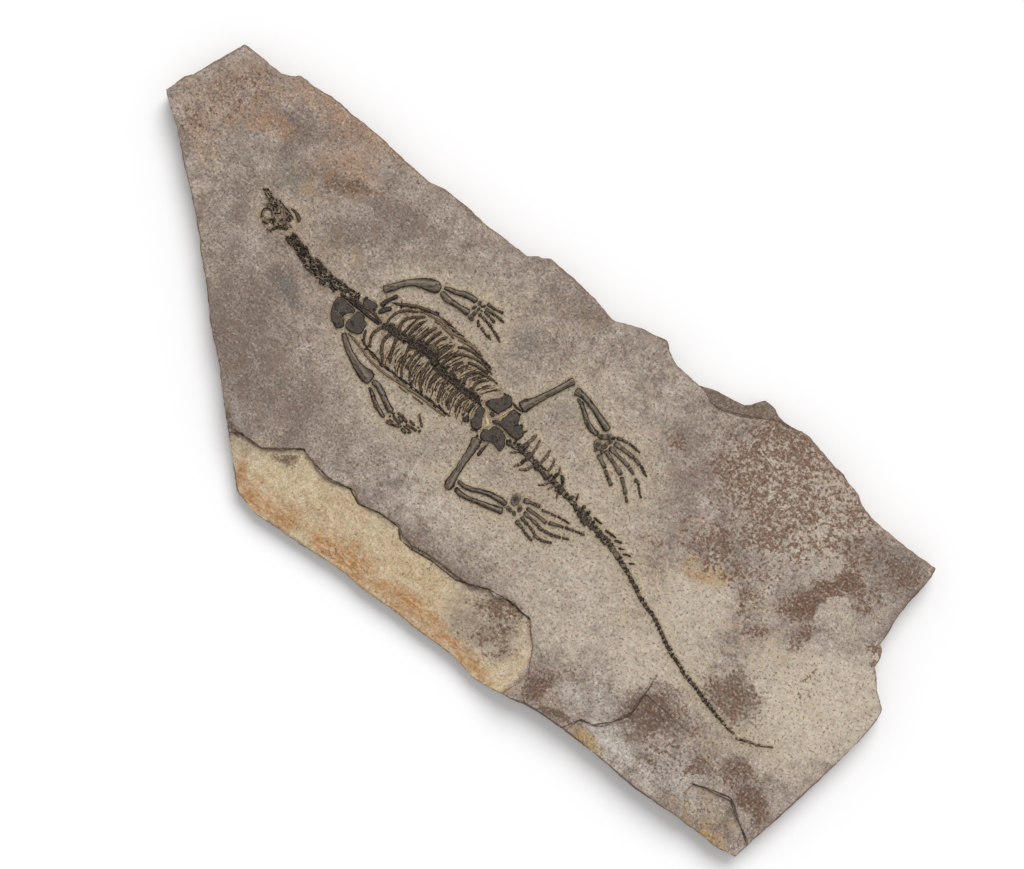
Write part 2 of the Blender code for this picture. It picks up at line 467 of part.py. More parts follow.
def makeBellyRibs(grey, dark):
    rightRows = [
        [(-110, 49.2, 1.2), (-105, 51, 1.5), (-99.7, 52, 1.6), (-95, 52.7, 1.6), (-89.7, 53, 1.6),
         (-84.2, 52.4, 1.5)],
        [(-95.7, 50.2, 1.1), (-90.3, 50.7, 1.3), (-85, 50.3, 1.4), (-79.7, 49.2, 1.3), (-75, 48.3, 1.1)],
        [(-86, 52.4, 1.6), (-82.3, 51.3, 1.8), (-78.3, 51.3, 1.8), (-74.3, 51.7, 1.8), (-71.7, 52.8, 1.8),
         (-66.3, 53.2, 1.7), (-55.7, 53, 1.5)],
        [(-85.3, 52.9, 1.2), (-82.3, 53.9, 1.5), (-78.3, 54.5, 1.5), (-76, 54.4, 1.2)],
        [(-71.7, 49.7, 1.2), (-67.7, 50.7, 1.5), (-63.7, 51.5, 1.6), (-58.3, 51.9, 1.6), (-53, 51.5, 1.5),
         (-48.7, 51, 1.2)],
        [(-83.6, 50.6, 1.2), (-80.6, 50.2, 1.4), (-77.6, 50.1, 1.2)],
    ]
    leftRows = [
        [(-144.6, 0.9, 1.2), (-134.7, -1, 1.6), (-127.2, -2.9, 1.6), (-123.5, -4.3, 1.6), (-115, -6.6, 1.5)],
        [(-116.6, -5.9, 1.5), (-107.6, -7.1, 1.7), (-101.1, -7.1, 1.7), (-89.9, -6.6, 1.6), (-85, -6, 1.4)],
        [(-95.5, -4, 1.4), (-88, -5.1, 1.8), (-79.6, -5.8, 2.0), (-73, -4.9, 1.9), (-61, -4.7, 1.9),
         (-56, -3.8, 1.5)],
        [(-60.5, -5.6, 1.5), (-51.7, -5.7, 1.6), (-43.9, -5.2, 1.3)],
    ]
    edge = rod("right_belly_ribs", rightRows[0], 1.4, dark, thin=True)
    combine(edge, [rod("row", row, 1.4, dark, thin=True) for row in rightRows[1:]], "UNION")
    edge = rod("left_belly_ribs", leftRows[0], 1.4, dark, thin=True)
    combine(edge, [rod("row", row, 1.4, dark, thin=True) for row in leftRows[1:]], "UNION")
    rod("belly_rib_a", [(-122.3, -0.9, 1.1), (-116, -1.8, 1.4), (-113.4, -1.9, 1.1)], 1.2, dark, thin=True)
    rod("belly_rib_b", [(-87.1, -8.7, 1.0), (-83, -9.0, 1.3), (-79.8, -9.0, 1.0)], 1.2, dark, thin=True)
    rod("belly_rib_c", [(-73, -8.5, 1.0), (-68.3, -8.1, 1.3), (-63.2, -8.5, 1.0)], 1.2, dark, thin=True)
    rod("belly_rib_d", [(-45, -2.8, 1.1), (-40.8, -3.2, 1.3)], 1.2, dark, thin=True)
    rod("belly_rib_e", [(-88.2, 55.9, 1.0), (-85.4, 56.2, 1.2), (-83.4, 56.1, 1.0)], 1.2, dark, thin=True)


# The hip girdle

def makeHips(grey, dark):
    taperedPlate("right_pubis", [
        (-23.8, 24.8), (-20.6, 28.8), (-16.6, 32.8), (-15, 36.8), (-11.8, 39), (-8.6, 38), (-6.1, 34.4),
        (-6.1, 32), (-7.9, 28), (-9.9, 24), (-10.3, 21.4), (-15.8, 21), (-20.6, 21.4), (-23.8, 21.8)],
        plateHeight, grey, shrink=0.9)
    taperedPlate("left_pubis", [
        (-26, 18.4), (-20.6, 18.4), (-19.8, 12.8), (-17.4, 8.8), (-14.9, 4.8), (-15.9, 1.6), (-19.8, 0),
        (-23.6, 2.4), (-25, 4), (-24.4, 8.8), (-26.6, 13.6)], plateHeight, grey, shrink=0.9)
    taperedPlate("left_pubis_chip", [(-30, 6.2), (-28, 6.4), (-26.6, 3.6), (-27.4, 0.4), (-29.6, 0.2),
                                   (-30.4, 3)], 1.6, grey)
    taperedPlate("sacral_chip", [(-15.8, 19.6), (-12.6, 19.6), (-11.8, 18.2), (-13, 17.2), (-15.6, 17.4)],
               1.8, dark)
    taperedPlate("right_ischium_and_sacrum", [
        (-3.2, 32), (-0.6, 32.4), (5, 30.4), (6.2, 25.6), (9, 24), (11, 25.6), (12.2, 23.2),
        (15.2, 22.2), (16, 20), (15.4, 15.6), (13, 14), (9.8, 13.4), (5.8, 13.4), (1.8, 14.6),
        (-4.6, 15.9), (-9.6, 13.6), (-11.4, 14.2), (-9.4, 16.4), (-5.4, 17.6), (-5.2, 20), (-4.4, 24),
        (-3.6, 28)], plateHeight, grey, shrink=0.9)
    taperedPlate("left_ischium", [
        (-7, 12.2), (-3, 13.2), (1.8, 12), (5.4, 10.4), (6.8, 7.2), (9.2, 4.2), (9.4, -0.8), (8.2, -1.6),
        (3.4, 0), (-2.2, 0.4), (-4.6, -0.8), (-7.8, -3), (-10.8, -2.2), (-12.4, 0.8), (-12.8, 4.8),
        (-8.6, 6.4), (-7.8, 10.2)], plateHeight, grey, shrink=0.9)


# The legs

def makeLegs(grey, dark):
    rod("right_femur", [(2, 37.5, 10.5), (3.5, 42, 9.2), (6.5, 47, 6.2), (9.5, 53.5, 5.2), (12.8, 60, 4.8),
                        (16.2, 67, 4.6), (19, 73, 5), (21.5, 78.6, 6.5)], longBoneHeight, grey)
    rod("right_tibia", [(28.8, 74, 7), (35, 74.3, 4.6), (42, 72.8, 4.2), (50, 70.7, 4.4), (57, 68, 5.2),
                        (63, 65.6, 6.2), (66.7, 64.3, 5.6)], 2.8, grey)
    rod("right_fibula", [(33.6, 69.3, 2.3), (37.5, 68.4, 3.2), (42.5, 65, 3.4), (47.5, 61.2, 3.6),
                         (52.5, 58, 4.4), (58, 56.5, 4.6), (61.8, 56.4, 4)], 2.4, grey)
    rod("left_femur", [(-11.9, -5, 8.6), (-10.7, -10, 8), (-10, -18, 6), (-9.8, -26, 5.4), (-9.2, -34, 5.4),
                       (-8.7, -40, 6.2), (-8, -46, 8.6), (-7.6, -50, 6)], longBoneHeight, grey)
    rod("left_femur_splinter", [(-2.7, -1.9, 1.2), (-3.4, -8, 2.2), (-3.7, -14.2, 2.8)], 1.6, dark)
    rod("left_tibia", [(-3, -40.5, 2.6), (3, -41, 3.6), (9, -39.4, 3.6), (15, -36.3, 3.6), (22, -33.8, 4.2),
                       (30, -32.4, 5), (37.2, -32.2, 4.6)], 2.6, grey)
    rod("left_fibula", [(-1.3, -46.6, 4.2), (4, -47.6, 4.4), (10, -47, 3.4), (17, -45, 3.4), (24, -43, 4),
                        (31, -41, 5), (38.3, -38.6, 5.6)], 2.6, grey)


def makeFeet(grey, dark):
    ankle = taperedPlate("right_foot", [
        (63.9, 56.7), (66.7, 58.3), (69.2, 61.4), (72.1, 63.6), (73.2, 61.7), (71.6, 58.3), (71, 55.6),
        (65.8, 54.6), (63.9, 54.8)], 2.2, dark, shrink=0.86)
    tarsals = [taperedPlate("calcaneum", [(65, 51.7), (68.3, 52.9), (70.9, 51.6), (71.3, 48.4), (69.2, 44.6),
                                        (65.8, 47.5)], 2.2, dark),
               lump("tarsal", 72.8, 53.0, 2.9, 3.9, 2.0, dark),
               lump("tarsal", 73.3, 47.2, 3.0, 2.9, 2.0, dark),
               lump("tarsal", 74.5, 58.3, 3.5, 3.4, 2.0, dark)]
    digits = [
        [(75.6, 60.9, 2.4), (78.3, 64.7, 2.6), (81.7, 65.3, 2.0), (85.8, 65.8, 2.6), (88, 65.8, 1.8),
         (92, 65.7, 2.6), (95.5, 65.4, 1.6), (98.8, 65, 1.6)],
        [(76.3, 59.4, 4.0), (81.7, 58.8, 3.2), (87.5, 58.3, 2.8), (93.3, 59.2, 3.4), (96.8, 58.9, 2.2),
         (100.5, 58.4, 2.8), (104.5, 57.5, 2.0), (107.5, 56.3, 2.6), (110.8, 54.2, 1.7), (114.2, 53, 1.5)],
        [(75, 53.9, 3.2), (79, 53.5, 3.2), (86, 52.3, 2.6), (94.5, 51.5, 3.0), (98.5, 50.8, 2.0),
         (102.5, 48.8, 2.7), (106.7, 47.1, 2.0), (110, 45.4, 2.5), (114.2, 42.9, 1.6), (117.2, 39.9, 2.0),
         (121.3, 37.2, 1.3)],
        [(75, 49.6, 3.0), (79, 48.6, 3.4), (86, 46, 2.8), (94, 42.8, 3.4), (97.4, 41.5, 2.0),
         (100.2, 39.9, 3.2), (104, 36.8, 2.4), (108, 32.8, 2.9), (110.6, 30.3, 1.8), (113.4, 27.6, 1.8)],
        [(73.2, 44.4, 3.6), (76.8, 43.2, 4.0), (81, 41.4, 3.4), (83.2, 39.4, 3.8), (86.4, 36.9, 2.8),
         (89.6, 34.2, 3.6), (92.6, 32, 3.0), (95.2, 30.2, 3.0)],
    ]
    combine(ankle, tarsals + [rod("digit", digit, digitHeight, dark, thin=True) for digit in digits], "UNION")

    ankle = taperedPlate("left_foot", [
        (37.5, -21.4), (38.5, -20.5), (41.5, -20.5), (44, -19.8), (46.4, -21), (46.2, -26), (44.6, -28),
        (40.5, -28.8), (38.7, -28), (37.5, -25.5)], 2.2, dark, shrink=0.86)
    tarsals = [lump("tarsal", 48.3, -27.9, 3.8, 3.4, 2.0, dark),
               lump("tarsal", 47.6, -33.6, 3.0, 3.2, 2.0, dark),
               lump("tarsal", 42.6, -32.9, 3.0, 2.8, 2.0, dark)]
    digits = [
        [(46.4, -20.9, 3.4), (49.5, -21, 4.2), (53.6, -19.6, 3.2), (57.8, -17.4, 3.4), (60.6, -17.2, 3.0),
         (62.6, -18, 1.4), (65.6, -17.9, 2.0), (69.6, -17, 1.6), (73, -16.2, 2.0), (77, -15.4, 1.7),
         (82, -14.9, 1.9), (87, -14.5, 1.3)],
        [(51, -26.4, 2.6), (54, -24.8, 3.2), (60, -24.7, 2.9), (67, -24.2, 2.9), (71.4, -24.1, 3.0),
         (73.4, -23.5, 1.8), (76, -22.4, 3.2), (81, -20.4, 2.4), (86, -18.6, 2.6), (92, -16.7, 2.0),
         (97, -15.2, 2.2), (102.3, -14.5, 1.3)],
        [(51.3, -29.2, 2.8), (54.6, -29.2, 3.6), (60, -29.8, 3.0), (67, -30.2, 3.0), (73, -30.2, 3.0),
         (78, -29.4, 2.3), (82, -28.4, 2.7), (86, -27.2, 2.0), (90.5, -25.8, 2.3), (94.8, -24.8, 1.4)],
        [(49.8, -32.6, 2.6), (54, -33.6, 3.2), (58, -34.8, 2.8), (64, -35.8, 2.6), (69.4, -37, 2.8),
         (73, -38, 2.2), (77, -38, 2.6), (81, -36.7, 2.0), (85.4, -35.4, 1.8)],
        [(49.6, -35.2, 2.4), (53.4, -37.4, 3.8), (58, -38.9, 2.8), (63.6, -40.9, 2.6), (67.6, -42, 2.2),
         (71.6, -42.8, 1.6)],
    ]
    combine(ankle, tarsals + [rod("digit", digit, digitHeight, dark, thin=True) for digit in digits], "UNION")


# The tail

def makeTail(grey, dark):
    row = [
        (11.9, 9.2, 4.0), (16, 8.8, 4.6), (20.8, 10, 6.4), (26, 9.6, 4.6), (31, 9, 5.2), (36.6, 8.4, 5.2),
        (42.4, 6.9, 5.4), (48.6, 6.1, 5.2), (54.8, 5.6, 5.6), (60.2, 4.4, 4.6), (66.6, 2.8, 6.0),
        (73.2, 1.6, 4.4), (78.8, 0.8, 4.2), (84.4, -0.4, 4.6), (90.2, -1.4, 7.2), (96.8, -3.4, 8.6),
        (103.8, -4.4, 6.2), (111, -6, 5.8), (118.6, -7.2, 5.4), (126.6, -9.3, 5.2), (134, -11.8, 5.2),
        (141.8, -14.8, 4.6), (149, -17.6, 4.6), (155.6, -20.8, 4.0), (161.8, -23.4, 3.8), (166.8, -26.6, 3.6),
        (171.6, -29, 3.2), (177, -30.4, 3.2), (183.6, -32.2, 3.6), (189.4, -34.2, 3.0), (194.6, -36.6, 3.2),
        (200, -40, 3.4), (204.8, -43, 3.2), (209.2, -45.4, 3.4), (213.2, -47.8, 3.0), (217.6, -49.4, 3.2),
        (222, -50.6, 3.2), (226.4, -51.8, 3.2), (231, -54.4, 3.0), (236, -56.2, 2.8), (241.8, -57.3, 3.2),
        (247.8, -58, 3.2), (253.2, -60.4, 3.0), (258, -62.2, 3.8), (264, -63, 3.6), (269.6, -64.3, 3.6),
        (274.6, -66.2, 3.0), (281, -67.2, 2.4), (287.6, -68.9, 2.2), (293.6, -69.3, 2.4),
    ]
    tail = rod("tail_vertebrae", beaded(row, pinch=0.68, plainWidth=4.1), vertebraHeight, dark, thin=True)
    processes = [
        [(24, 26, 2.8), (23.4, 21, 3.4), (21.6, 12, 3.0)],
        [(28.9, 24.6, 1.6), (30, 20, 2.2), (30.6, 10, 2.4)],
        [(40, 23.2, 1.8), (41, 19, 2.6), (40.2, 8.6, 2.6)],
        [(47.2, 19.8, 1.4), (49, 15, 2.2), (49, 7.6, 2.2)],
        [(54.6, 17.2, 1.2), (56.8, 12.5, 2.0), (56, 7, 2.2)],
        [(61, 11.8, 1.6), (63.6, 9.6, 2.4), (65.6, 4.6, 2.4)],
        [(15.6, 2.6, 1.2), (19, 5.5, 1.8), (21.6, 8.6, 2.2)],
        [(25, -4, 1.4), (27.6, 0, 2.8), (29.4, 7.6, 2.8)],
        [(30.2, -3.4, 1.6), (33.6, -1.3, 2.8), (37.8, 6.8, 2.8)],
        [(49.6, -4.4, 1.2), (53, -1.4, 1.8), (55.8, 4, 2.0)],
        [(57.7, -3, 1.0), (59.4, 3, 1.6)], [(67, -4, 1.1), (65.4, 1.6, 1.6)],
        [(79.3, 9, 0.9), (81.4, 4, 1.3), (83.4, -0.6, 1.4)],
    ]
    growths = [rod("process", line, 1.8, dark, thin=True, buriedEnd=True) for line in processes]
    combine(tail, growths, "UNION")
    rod("tail_tip", [(297.6, -71.2, 1.6), (302.6, -69.2, 2.0), (308.4, -66.9, 2.0), (311, -66.1, 1.3),
                     (313.6, -65.7, 1.8), (318.6, -63, 1.4), (325.4, -59.4, 1.0)], 1.2, dark, thin=True)
    chevrons = {
        "chevron_a": [(101, 1.4, 1.6), (104, 1.3, 1.1), (108.4, 1.2, 1.0)],
        "chevron_b": [(114, -1, 1.0), (119, -0.8, 1.2), (124, -0.9, 0.9)],
        "chevron_c": [(125.2, -2.9, 1.0), (130.2, -1.4, 1.0)],
        "chevron_d": [(131.6, -6, 1.0), (135.4, -4.2, 0.9)],
        "chevron_e": [(136.6, -8, 1.1), (140, -6.3, 1.0), (142.8, -5.7, 0.9)],
        "chevron_f": [(145, -11, 1.0), (149, -8.6, 0.9)],
    }
    for name, stations in chevrons.items():
        rod(name, stations, 0.9, dark, thin=True)


def main():
    clearScene()
    stone = material("mudstone", (0.36, 0.30, 0.25), 0.92)
    grey = material("grey_bone", (0.11, 0.095, 0.088), 0.62)
    dark = material("dark_bone", (0.062, 0.048, 0.038), 0.58)
    makeSlab(stone)
    makeHead(grey, dark)
    makeShoulders(grey, dark)
    makeArms(grey, dark)
    makeHands(grey, dark)
    makeTrunk(grey, dark)
    makeBellyRibs(grey, dark)
    makeHips(grey, dark)
    makeLegs(grey, dark)
    makeFeet(grey, dark)
    makeTail(grey, dark)
    fossil = bpy.data.objects.new("fossil", None)
    bpy.context.scene.collection.objects.link(fossil)
    for thing in bpy.context.scene.collection.objects:
        if thing.type == "MESH":
            thing.parent = fossil


main()
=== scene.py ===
# A small fossil reptile lying in a slab of layered mudstone, seen from straight above.
# The slab's frame: X runs towards the tail end, Y across the slab, Z up. Sizes in the lists are millimetres.
import math
import random
from functools import partial

import bpy
import bmesh
import numpy as np
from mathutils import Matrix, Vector, kdtree, noise


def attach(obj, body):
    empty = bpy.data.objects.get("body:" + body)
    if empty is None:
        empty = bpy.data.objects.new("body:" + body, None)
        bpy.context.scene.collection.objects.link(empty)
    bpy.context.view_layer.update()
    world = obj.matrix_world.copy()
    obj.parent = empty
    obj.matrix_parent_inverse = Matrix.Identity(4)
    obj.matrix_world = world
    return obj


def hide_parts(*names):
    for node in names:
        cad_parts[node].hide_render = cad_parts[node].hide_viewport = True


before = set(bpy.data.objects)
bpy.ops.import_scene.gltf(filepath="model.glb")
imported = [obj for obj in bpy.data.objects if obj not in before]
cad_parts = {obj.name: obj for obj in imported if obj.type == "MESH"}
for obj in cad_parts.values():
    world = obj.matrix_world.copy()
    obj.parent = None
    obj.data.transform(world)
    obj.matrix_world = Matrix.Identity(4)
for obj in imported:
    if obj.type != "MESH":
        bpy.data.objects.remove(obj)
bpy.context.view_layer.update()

mm = 0.001
slabTop = 22.0      # height of the stone's face
boneFoot = 22.3     # height of the bones' flat undersides


def toLinear(hexColour):
    parts = [int(hexColour[i:i + 2], 16) / 255 for i in (1, 3, 5)]
    return tuple(c / 12.92 if c <= 0.04045 else ((c + 0.055) / 1.055) ** 2.4 for c in parts) + (1.0,)


# Gives a node its settings. A value is one of its own properties, a link from another node's output, or what
# an input holds, with hex for a colour. "ramp" lists a ramp's stops.
def setNode(node, settings):
    for key, value in settings.items():
        if key == "ramp":
            stops = node.color_ramp.elements
            while len(stops) < len(value):
                stops.new(0.5)
            for stop, (place, colour) in zip(stops, value):
                stop.position = place
                stop.color = toLinear(colour)
        elif isinstance(value, bpy.types.NodeSocket):
            node.id_data.links.new(value, node.inputs[key])
        elif isinstance(key, str) and hasattr(node, key):
            setattr(node, key, value)
        else:
            node.inputs[key].default_value = toLinear(value) if isinstance(value, str) else value


# Adds one shader node with its settings and links, and gives back one of its outputs
def addNode(tree, kind, settings, out=0):
    node = tree.nodes.new("ShaderNode" + kind)
    setNode(node, settings)
    return node.outputs[out]


# A new material, its shader, and addNode for its own nodes
def startMaterial(name):
    made = bpy.data.materials.new(name)
    made.use_nodes = True
    return made, made.node_tree.nodes["Principled BSDF"], partial(addNode, made.node_tree)


# A noise of this many millimetres a feature, in the scale that a texture node takes
def perMm(size):
    return 1000.0 / size


def deselectAll():
    if bpy.context.object and bpy.context.object.mode != "OBJECT":
        bpy.ops.object.mode_set(mode="OBJECT")
    bpy.ops.object.select_all(action="DESELECT")


def pick(piece):
    deselectAll()
    piece.select_set(True)
    bpy.context.view_layer.objects.active = piece


# Puts a modifier on the picked piece and applies it
def applyModifier(piece, kind, **settings):
    pick(piece)
    bpy.ops.object.modifier_add(type=kind)
    modifier = piece.modifiers[-1]
    for key, value in settings.items():
        setattr(modifier, key, value)
    bpy.ops.object.modifier_apply(modifier=modifier.name)


# A merged copy of a CAD node, with a mesh of its own
def copyNode(nodeName, pieceName):
    piece = bpy.data.objects.new(pieceName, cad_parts[nodeName].data.copy())
    bpy.context.scene.collection.objects.link(piece)
    piece.data.materials.clear()
    pick(piece)
    bpy.ops.object.mode_set(mode="EDIT")
    bpy.ops.mesh.select_all(action="SELECT")
    bpy.ops.mesh.remove_doubles(threshold=0.000005)
    bpy.ops.object.mode_set(mode="OBJECT")
    return piece


# The photograph shows 1.25 pixels a millimetre and the slab turned by 37 degrees about this middle
photo = {"u": 492.4, "v": 443.4, "cos": 0.63891 / 0.64, "sin": 0.48146 / 0.64}


# The photograph's place (u right, v down) of a point on the slab
def photoPlace(x, y):
    return (photo["u"] + photo["cos"] * x + photo["sin"] * y,
            photo["v"] + photo["sin"] * x - photo["cos"] * y)


def eased(values):
    values = np.clip(values, 0.0, 1.0)
    return values * values * (3 - 2 * values)


def readArray(piece, what, count):
    values = np.zeros(len(piece.data.vertices) * count, np.float32)
    if what == "co":
        piece.data.vertices.foreach_get("co", values)
    else:
        piece.data.vertex_normals.foreach_get("vector", values)
    return values.reshape(-1, count).astype(float)


# One number for each vertex, which a material can read
def addLayer(piece, name, values):
    layer = piece.data.attributes.new(name, "FLOAT", "POINT")
    layer.data.foreach_set("value", values.astype(np.float32))


# Which places lie in an area
def inArea(places, area):
    (west, east), (south, north) = area
    x, y = places[:, 0], places[:, 1]
    return (x > west) & (x < east) & (y > south) & (y < north)


# Distance to a line of places, minus on its right-hand side
def lineDistance(x, y, line):
    best = np.full(len(x), 99.0)
    for (ax, ay), (bx, by) in zip(line, line[1:]):
        dx, dy = bx - ax, by - ay
        t = np.clip(((x - ax) * dx + (y - ay) * dy) / (dx * dx + dy * dy), 0, 1)
        far = np.hypot(x - ax - t * dx, y - ay - t * dy)
        signed = np.where(dx * (y - ay) - dy * (x - ax) >= 0, far, -far)
        best = np.where(far < np.abs(best), signed, best)
    return best


# The bones

# Fossil bone turned to dark phosphate: nearly black in plates and vertebrae, with a faint polish and pale
# stone left in its cracks. Painted shade darkens the foot and a painted highlight makes the crown greyer,
# most along the limbs.
# Colours of the foot (painted shade), the body and the crown (painted highlight), the crown's height, size
# and width of the cracks, and how much pale stone fills them.
boneLooks = {
    "plate": ("#0f0c0a", "#1b1816", "#4d4640", 25.2, 6, 0.05, 0.28),
    "limb": ("#0f0b08", "#2b251f", "#6e6357", 25.4, 6, 0.07, 0.3),
    "small": ("#1d140e", "#372e26", "#786d61", 24, 3.4, 0.09, 0.5),
    "digit": ("#17100b", "#33291f", "#7c7164", 24.5, 3, 0.09, 0.3),
    "neck": ("#0e0b09", "#28221d", "#83776a", 25, 3.4, 0.13, 0.75),
    "trunk": ("#1c140e", "#30261d", "#574a3c", 24.2, 3, 0.09, 0.4),
    "tail": ("#1c150f", "#41372d", "#827564", 24, 2.8, 0.14, 0.8),
    "lump": ("#0f0c0a", "#211c18", "#5a5149", 26, 2.6, 0.08, 0.4),
    "rib": ("#1a120c", "#2d231b", "#554739", 24.2, 3, 0.09, 0.3),
    "belly": ("#2a2018", "#4a3c2f", "#7a6953", 23.6, 3, 0.09, 0.3),
    "roof": ("#33291f", "#655646", "#938270", 23.6, 2.6, 0.14, 0.8),
    "calcite": ("#8b7450", "#b09872", "#c9b692", 23.4, 4, 0.09, 0.2),
}


def boneMaterial(kind):
    low, body, high, top, crackSize, gap, fill = boneLooks[kind]
    made, shader, add = startMaterial("fossil bone, " + kind)
    coords = add("TexCoord", {}, "Object")
    height = add("SeparateXYZ", {0: coords}, "Z")
    patches = add("TexNoise", {"Vector": coords, "Scale": perMm(4), "Detail": 4, "Roughness": 0.65})
    pores = add("TexNoise", {"Vector": coords, "Scale": perMm(1.2), "Detail": 3, "Roughness": 0.75})
    # Painted shade along the foot, and a painted highlight, greyer, on the crown where the light would catch
    # it
    paintedCrownLight = add("MapRange", {"Value": height, "From Min": (boneFoot + 0.5) * mm, "From Max": top * mm})
    uneven = add("Math", {"operation": "MULTIPLY_ADD", 0: patches, 1: 2.2, 2: -1.1})
    paintedLightAndPatches = add("Math", {"operation": "ADD", "use_clamp": True, 0: paintedCrownLight, 1: uneven})
    tone = add("ValToRGB", {"Fac": paintedLightAndPatches, "ramp": [(0.05, low), (0.45, body), (0.95, high)]})
    # Coats over this tone, the first one lowest: how much of each shows, and its colour.
    # The steep flanks are painted dark, as painted shade.
    facing = add("SeparateXYZ", {0: add("NewGeometry", {}, "Normal")}, "Z")
    paintedFlankShade = add("MapRange", {"Value": facing, "From Min": 0.8, "From Max": 0.35, "To Max": 0.8})
    coats = [(paintedFlankShade, low)]
    # Streaks along the shaft: pale ones painted as a highlight, dark ones, and painted shade along both edges
    if kind == "limb":
        shaft = add("Attribute", {"attribute_name": "shaft"}, "Vector")
        drawn = add("Mapping", {"Vector": shaft, "Scale": (0.1, 1, 1)})
        streaks = add("TexNoise", {"Vector": drawn, "Scale": perMm(2.3), "Detail": 3, "Roughness": 0.6})
        side = add("Attribute", {"attribute_name": "side"}, "Fac")
        for source, least, full, most, colour in [(streaks, 0.53, 0.64, 0.6, "#968b7e"),
                                                  (streaks, 0.46, 0.38, 0.55, "#17120e"),
                                                  (side, 0.58, 0.86, 0.85, low)]:
            share = add("MapRange", {"Value": source, "From Min": least, "From Max": full, "To Max": most})
            coats.append((share, colour))
    # Nearly black spots at joints and along the backbone, and brown iron stain in patches
    spots = add("Attribute", {"attribute_name": "pitch"}, "Fac")
    pitch = add("Math", {"operation": "MULTIPLY", 0: spots, 1: 0.85})
    stained = add("MapRange", {"Value": patches, "From Min": 0.54, "From Max": 0.7, "To Max": 0.5})
    # Cracks: dark where tight, filled with pale stone where they gape
    wander = add("TexNoise", {"Vector": coords, "Scale": perMm(3), "Detail": 2}, "Color")
    bent = add("Mix", {"data_type": "VECTOR", 0: 0.0012, 4: coords, 5: wander}, 1)
    cracks = add("TexVoronoi", {"feature": "DISTANCE_TO_EDGE", "Vector": bent, "Scale": perMm(crackSize)})
    crackLine = add("MapRange", {"Value": cracks, "From Min": gap, "From Max": gap / 3})
    gape = add("MapRange", {"Value": patches, "From Min": 0.56, "From Max": 0.44, "To Max": fill})
    filled = add("Math", {"operation": "MULTIPLY", 0: crackLine, 1: gape})
    worn = add("MapRange", {"Value": pores, "From Min": 0.6, "From Max": 0.78, "To Max": 0.45})
    coats += [(pitch, "#15100d"), (stained, "#4c3a2c"), (filled, "#a08f78"), (worn, "#7f7264")]
    for share, colour in coats:
        tone = add("Mix", {"data_type": "RGBA", 0: share, 6: tone, 7: colour}, 2)
    setNode(shader, {
        "Base Color": tone, "Specular IOR Level": 0.18,
        "Roughness": add("MapRange", {"Value": pores, "To Min": 0.42, "To Max": 0.85}),
        "Normal": add("Bump", {"Strength": 0.8, "Distance": 0.35 * mm, "Height": pores})})
    return made


# Which look each CAD node takes, by words in its name
def boneKind(nodeName):
    for words, kind in [
        (("skull",), "roof"),
        (("neck",), "neck"),
        (("backbone",), "trunk"),
        (("tail",), "tail"),
        (("scapula", "coracoid", "pubis", "ischium", "sacral", "interclavicle"), "plate"),
        (("humerus", "femur", "tibia", "fibula", "ulna", "radius"), "limb"),
        (("hand", "foot", "finger"), "small"),
        (("belly",), "belly"),
    ]:
        if any(word in nodeName for word in words):
            return kind
    return "rib"


# Weathering of the bones: a coarse wave, fine pits, and blocks where vertebrae are crushed
def weatherTexture(name, pattern, size):
    made = bpy.data.textures.new(name, pattern)
    made.noise_scale = size * mm
    if pattern == "CLOUDS":
        made.noise_depth = 2
    return made


# Sizes in millimetres: remesh cell, how much the skin is swollen, coarse wave, pits, crushed blocks, and the
# height above the foot where a crown is cut down, since its broken pieces are laid on it
boneShaping = {
    "plate": (0.42, 0.40, 0.7, 0.35, 0.3, 9.0),
    "limb": (0.42, 0.25, 0.8, 0.35, 0.5, 9.0),
    "small": (0.34, 0.32, 1.1, 0.4, 0.4, 9.0),
    "digit": (0.33, 0.22, 0.5, 0.35, 0.3, 9.0),
    "neck": (0.36, 0.0, 1.2, 0.5, 1.7, 0.9),
    "trunk": (0.36, 0.38, 0.8, 0.35, 0.4, 1.1),
    "tail": (0.36, 0.3, 0.6, 0.3, 0.4, 0.7),
    "lump": (0.33, 0.05, 0.8, 0.5, 0.9, 9.0),
    "rib": (0.33, 0.45, 0.8, 0.35, 0.4, 9.0),
    "belly": (0.33, 0.2, 0.55, 0.3, 0.3, 9.0),
    "roof": (0.33, 0.0, 0.5, 0.35, 0.6, 0.6),
    "calcite": (0.33, 0.0, 0.5, 0.3, 0.3, 9.0),
}
waveTexture = weatherTexture("bone wave", "CLOUDS", 2.6)
pitTexture = weatherTexture("bone pits", "CLOUDS", 0.8)
blockTexture = weatherTexture("crushed blocks", "VORONOI", 2.4)
boneMaterials = {kind: boneMaterial(kind) for kind in boneLooks}
bonePieces = []


# How far each vertex lies along and across a long bone, and how near its edge, from 0 on the middle to 1; the
# edge measure sets the painted shade along the edges
def measureShaft(piece):
    places = readArray(piece, "co", 3)
    flat = places[:, :2] - places[:, :2].mean(axis=0)
    axis = np.linalg.svd(flat[::5], full_matrices=False)[2][0]
    along, across = flat @ axis, flat @ np.array((-axis[1], axis[0]))
    cell = ((along - along.min()) / (1.5 * mm)).astype(int)
    low, high = np.full(cell.max() + 1, 9.0), np.full(cell.max() + 1, -9.0)
    np.minimum.at(low, cell, across)
    np.maximum.at(high, cell, across)
    addLayer(piece, "side", np.abs(2 * (across - low[cell]) / np.maximum(high[cell] - low[cell], 1e-5) - 1))
    shaft = piece.data.attributes.new("shaft", "FLOAT_VECTOR", "POINT")
    values = np.stack([along, across, places[:, 2]], axis=1)
    shaft.data.foreach_set("vector", values.astype(np.float32).ravel())


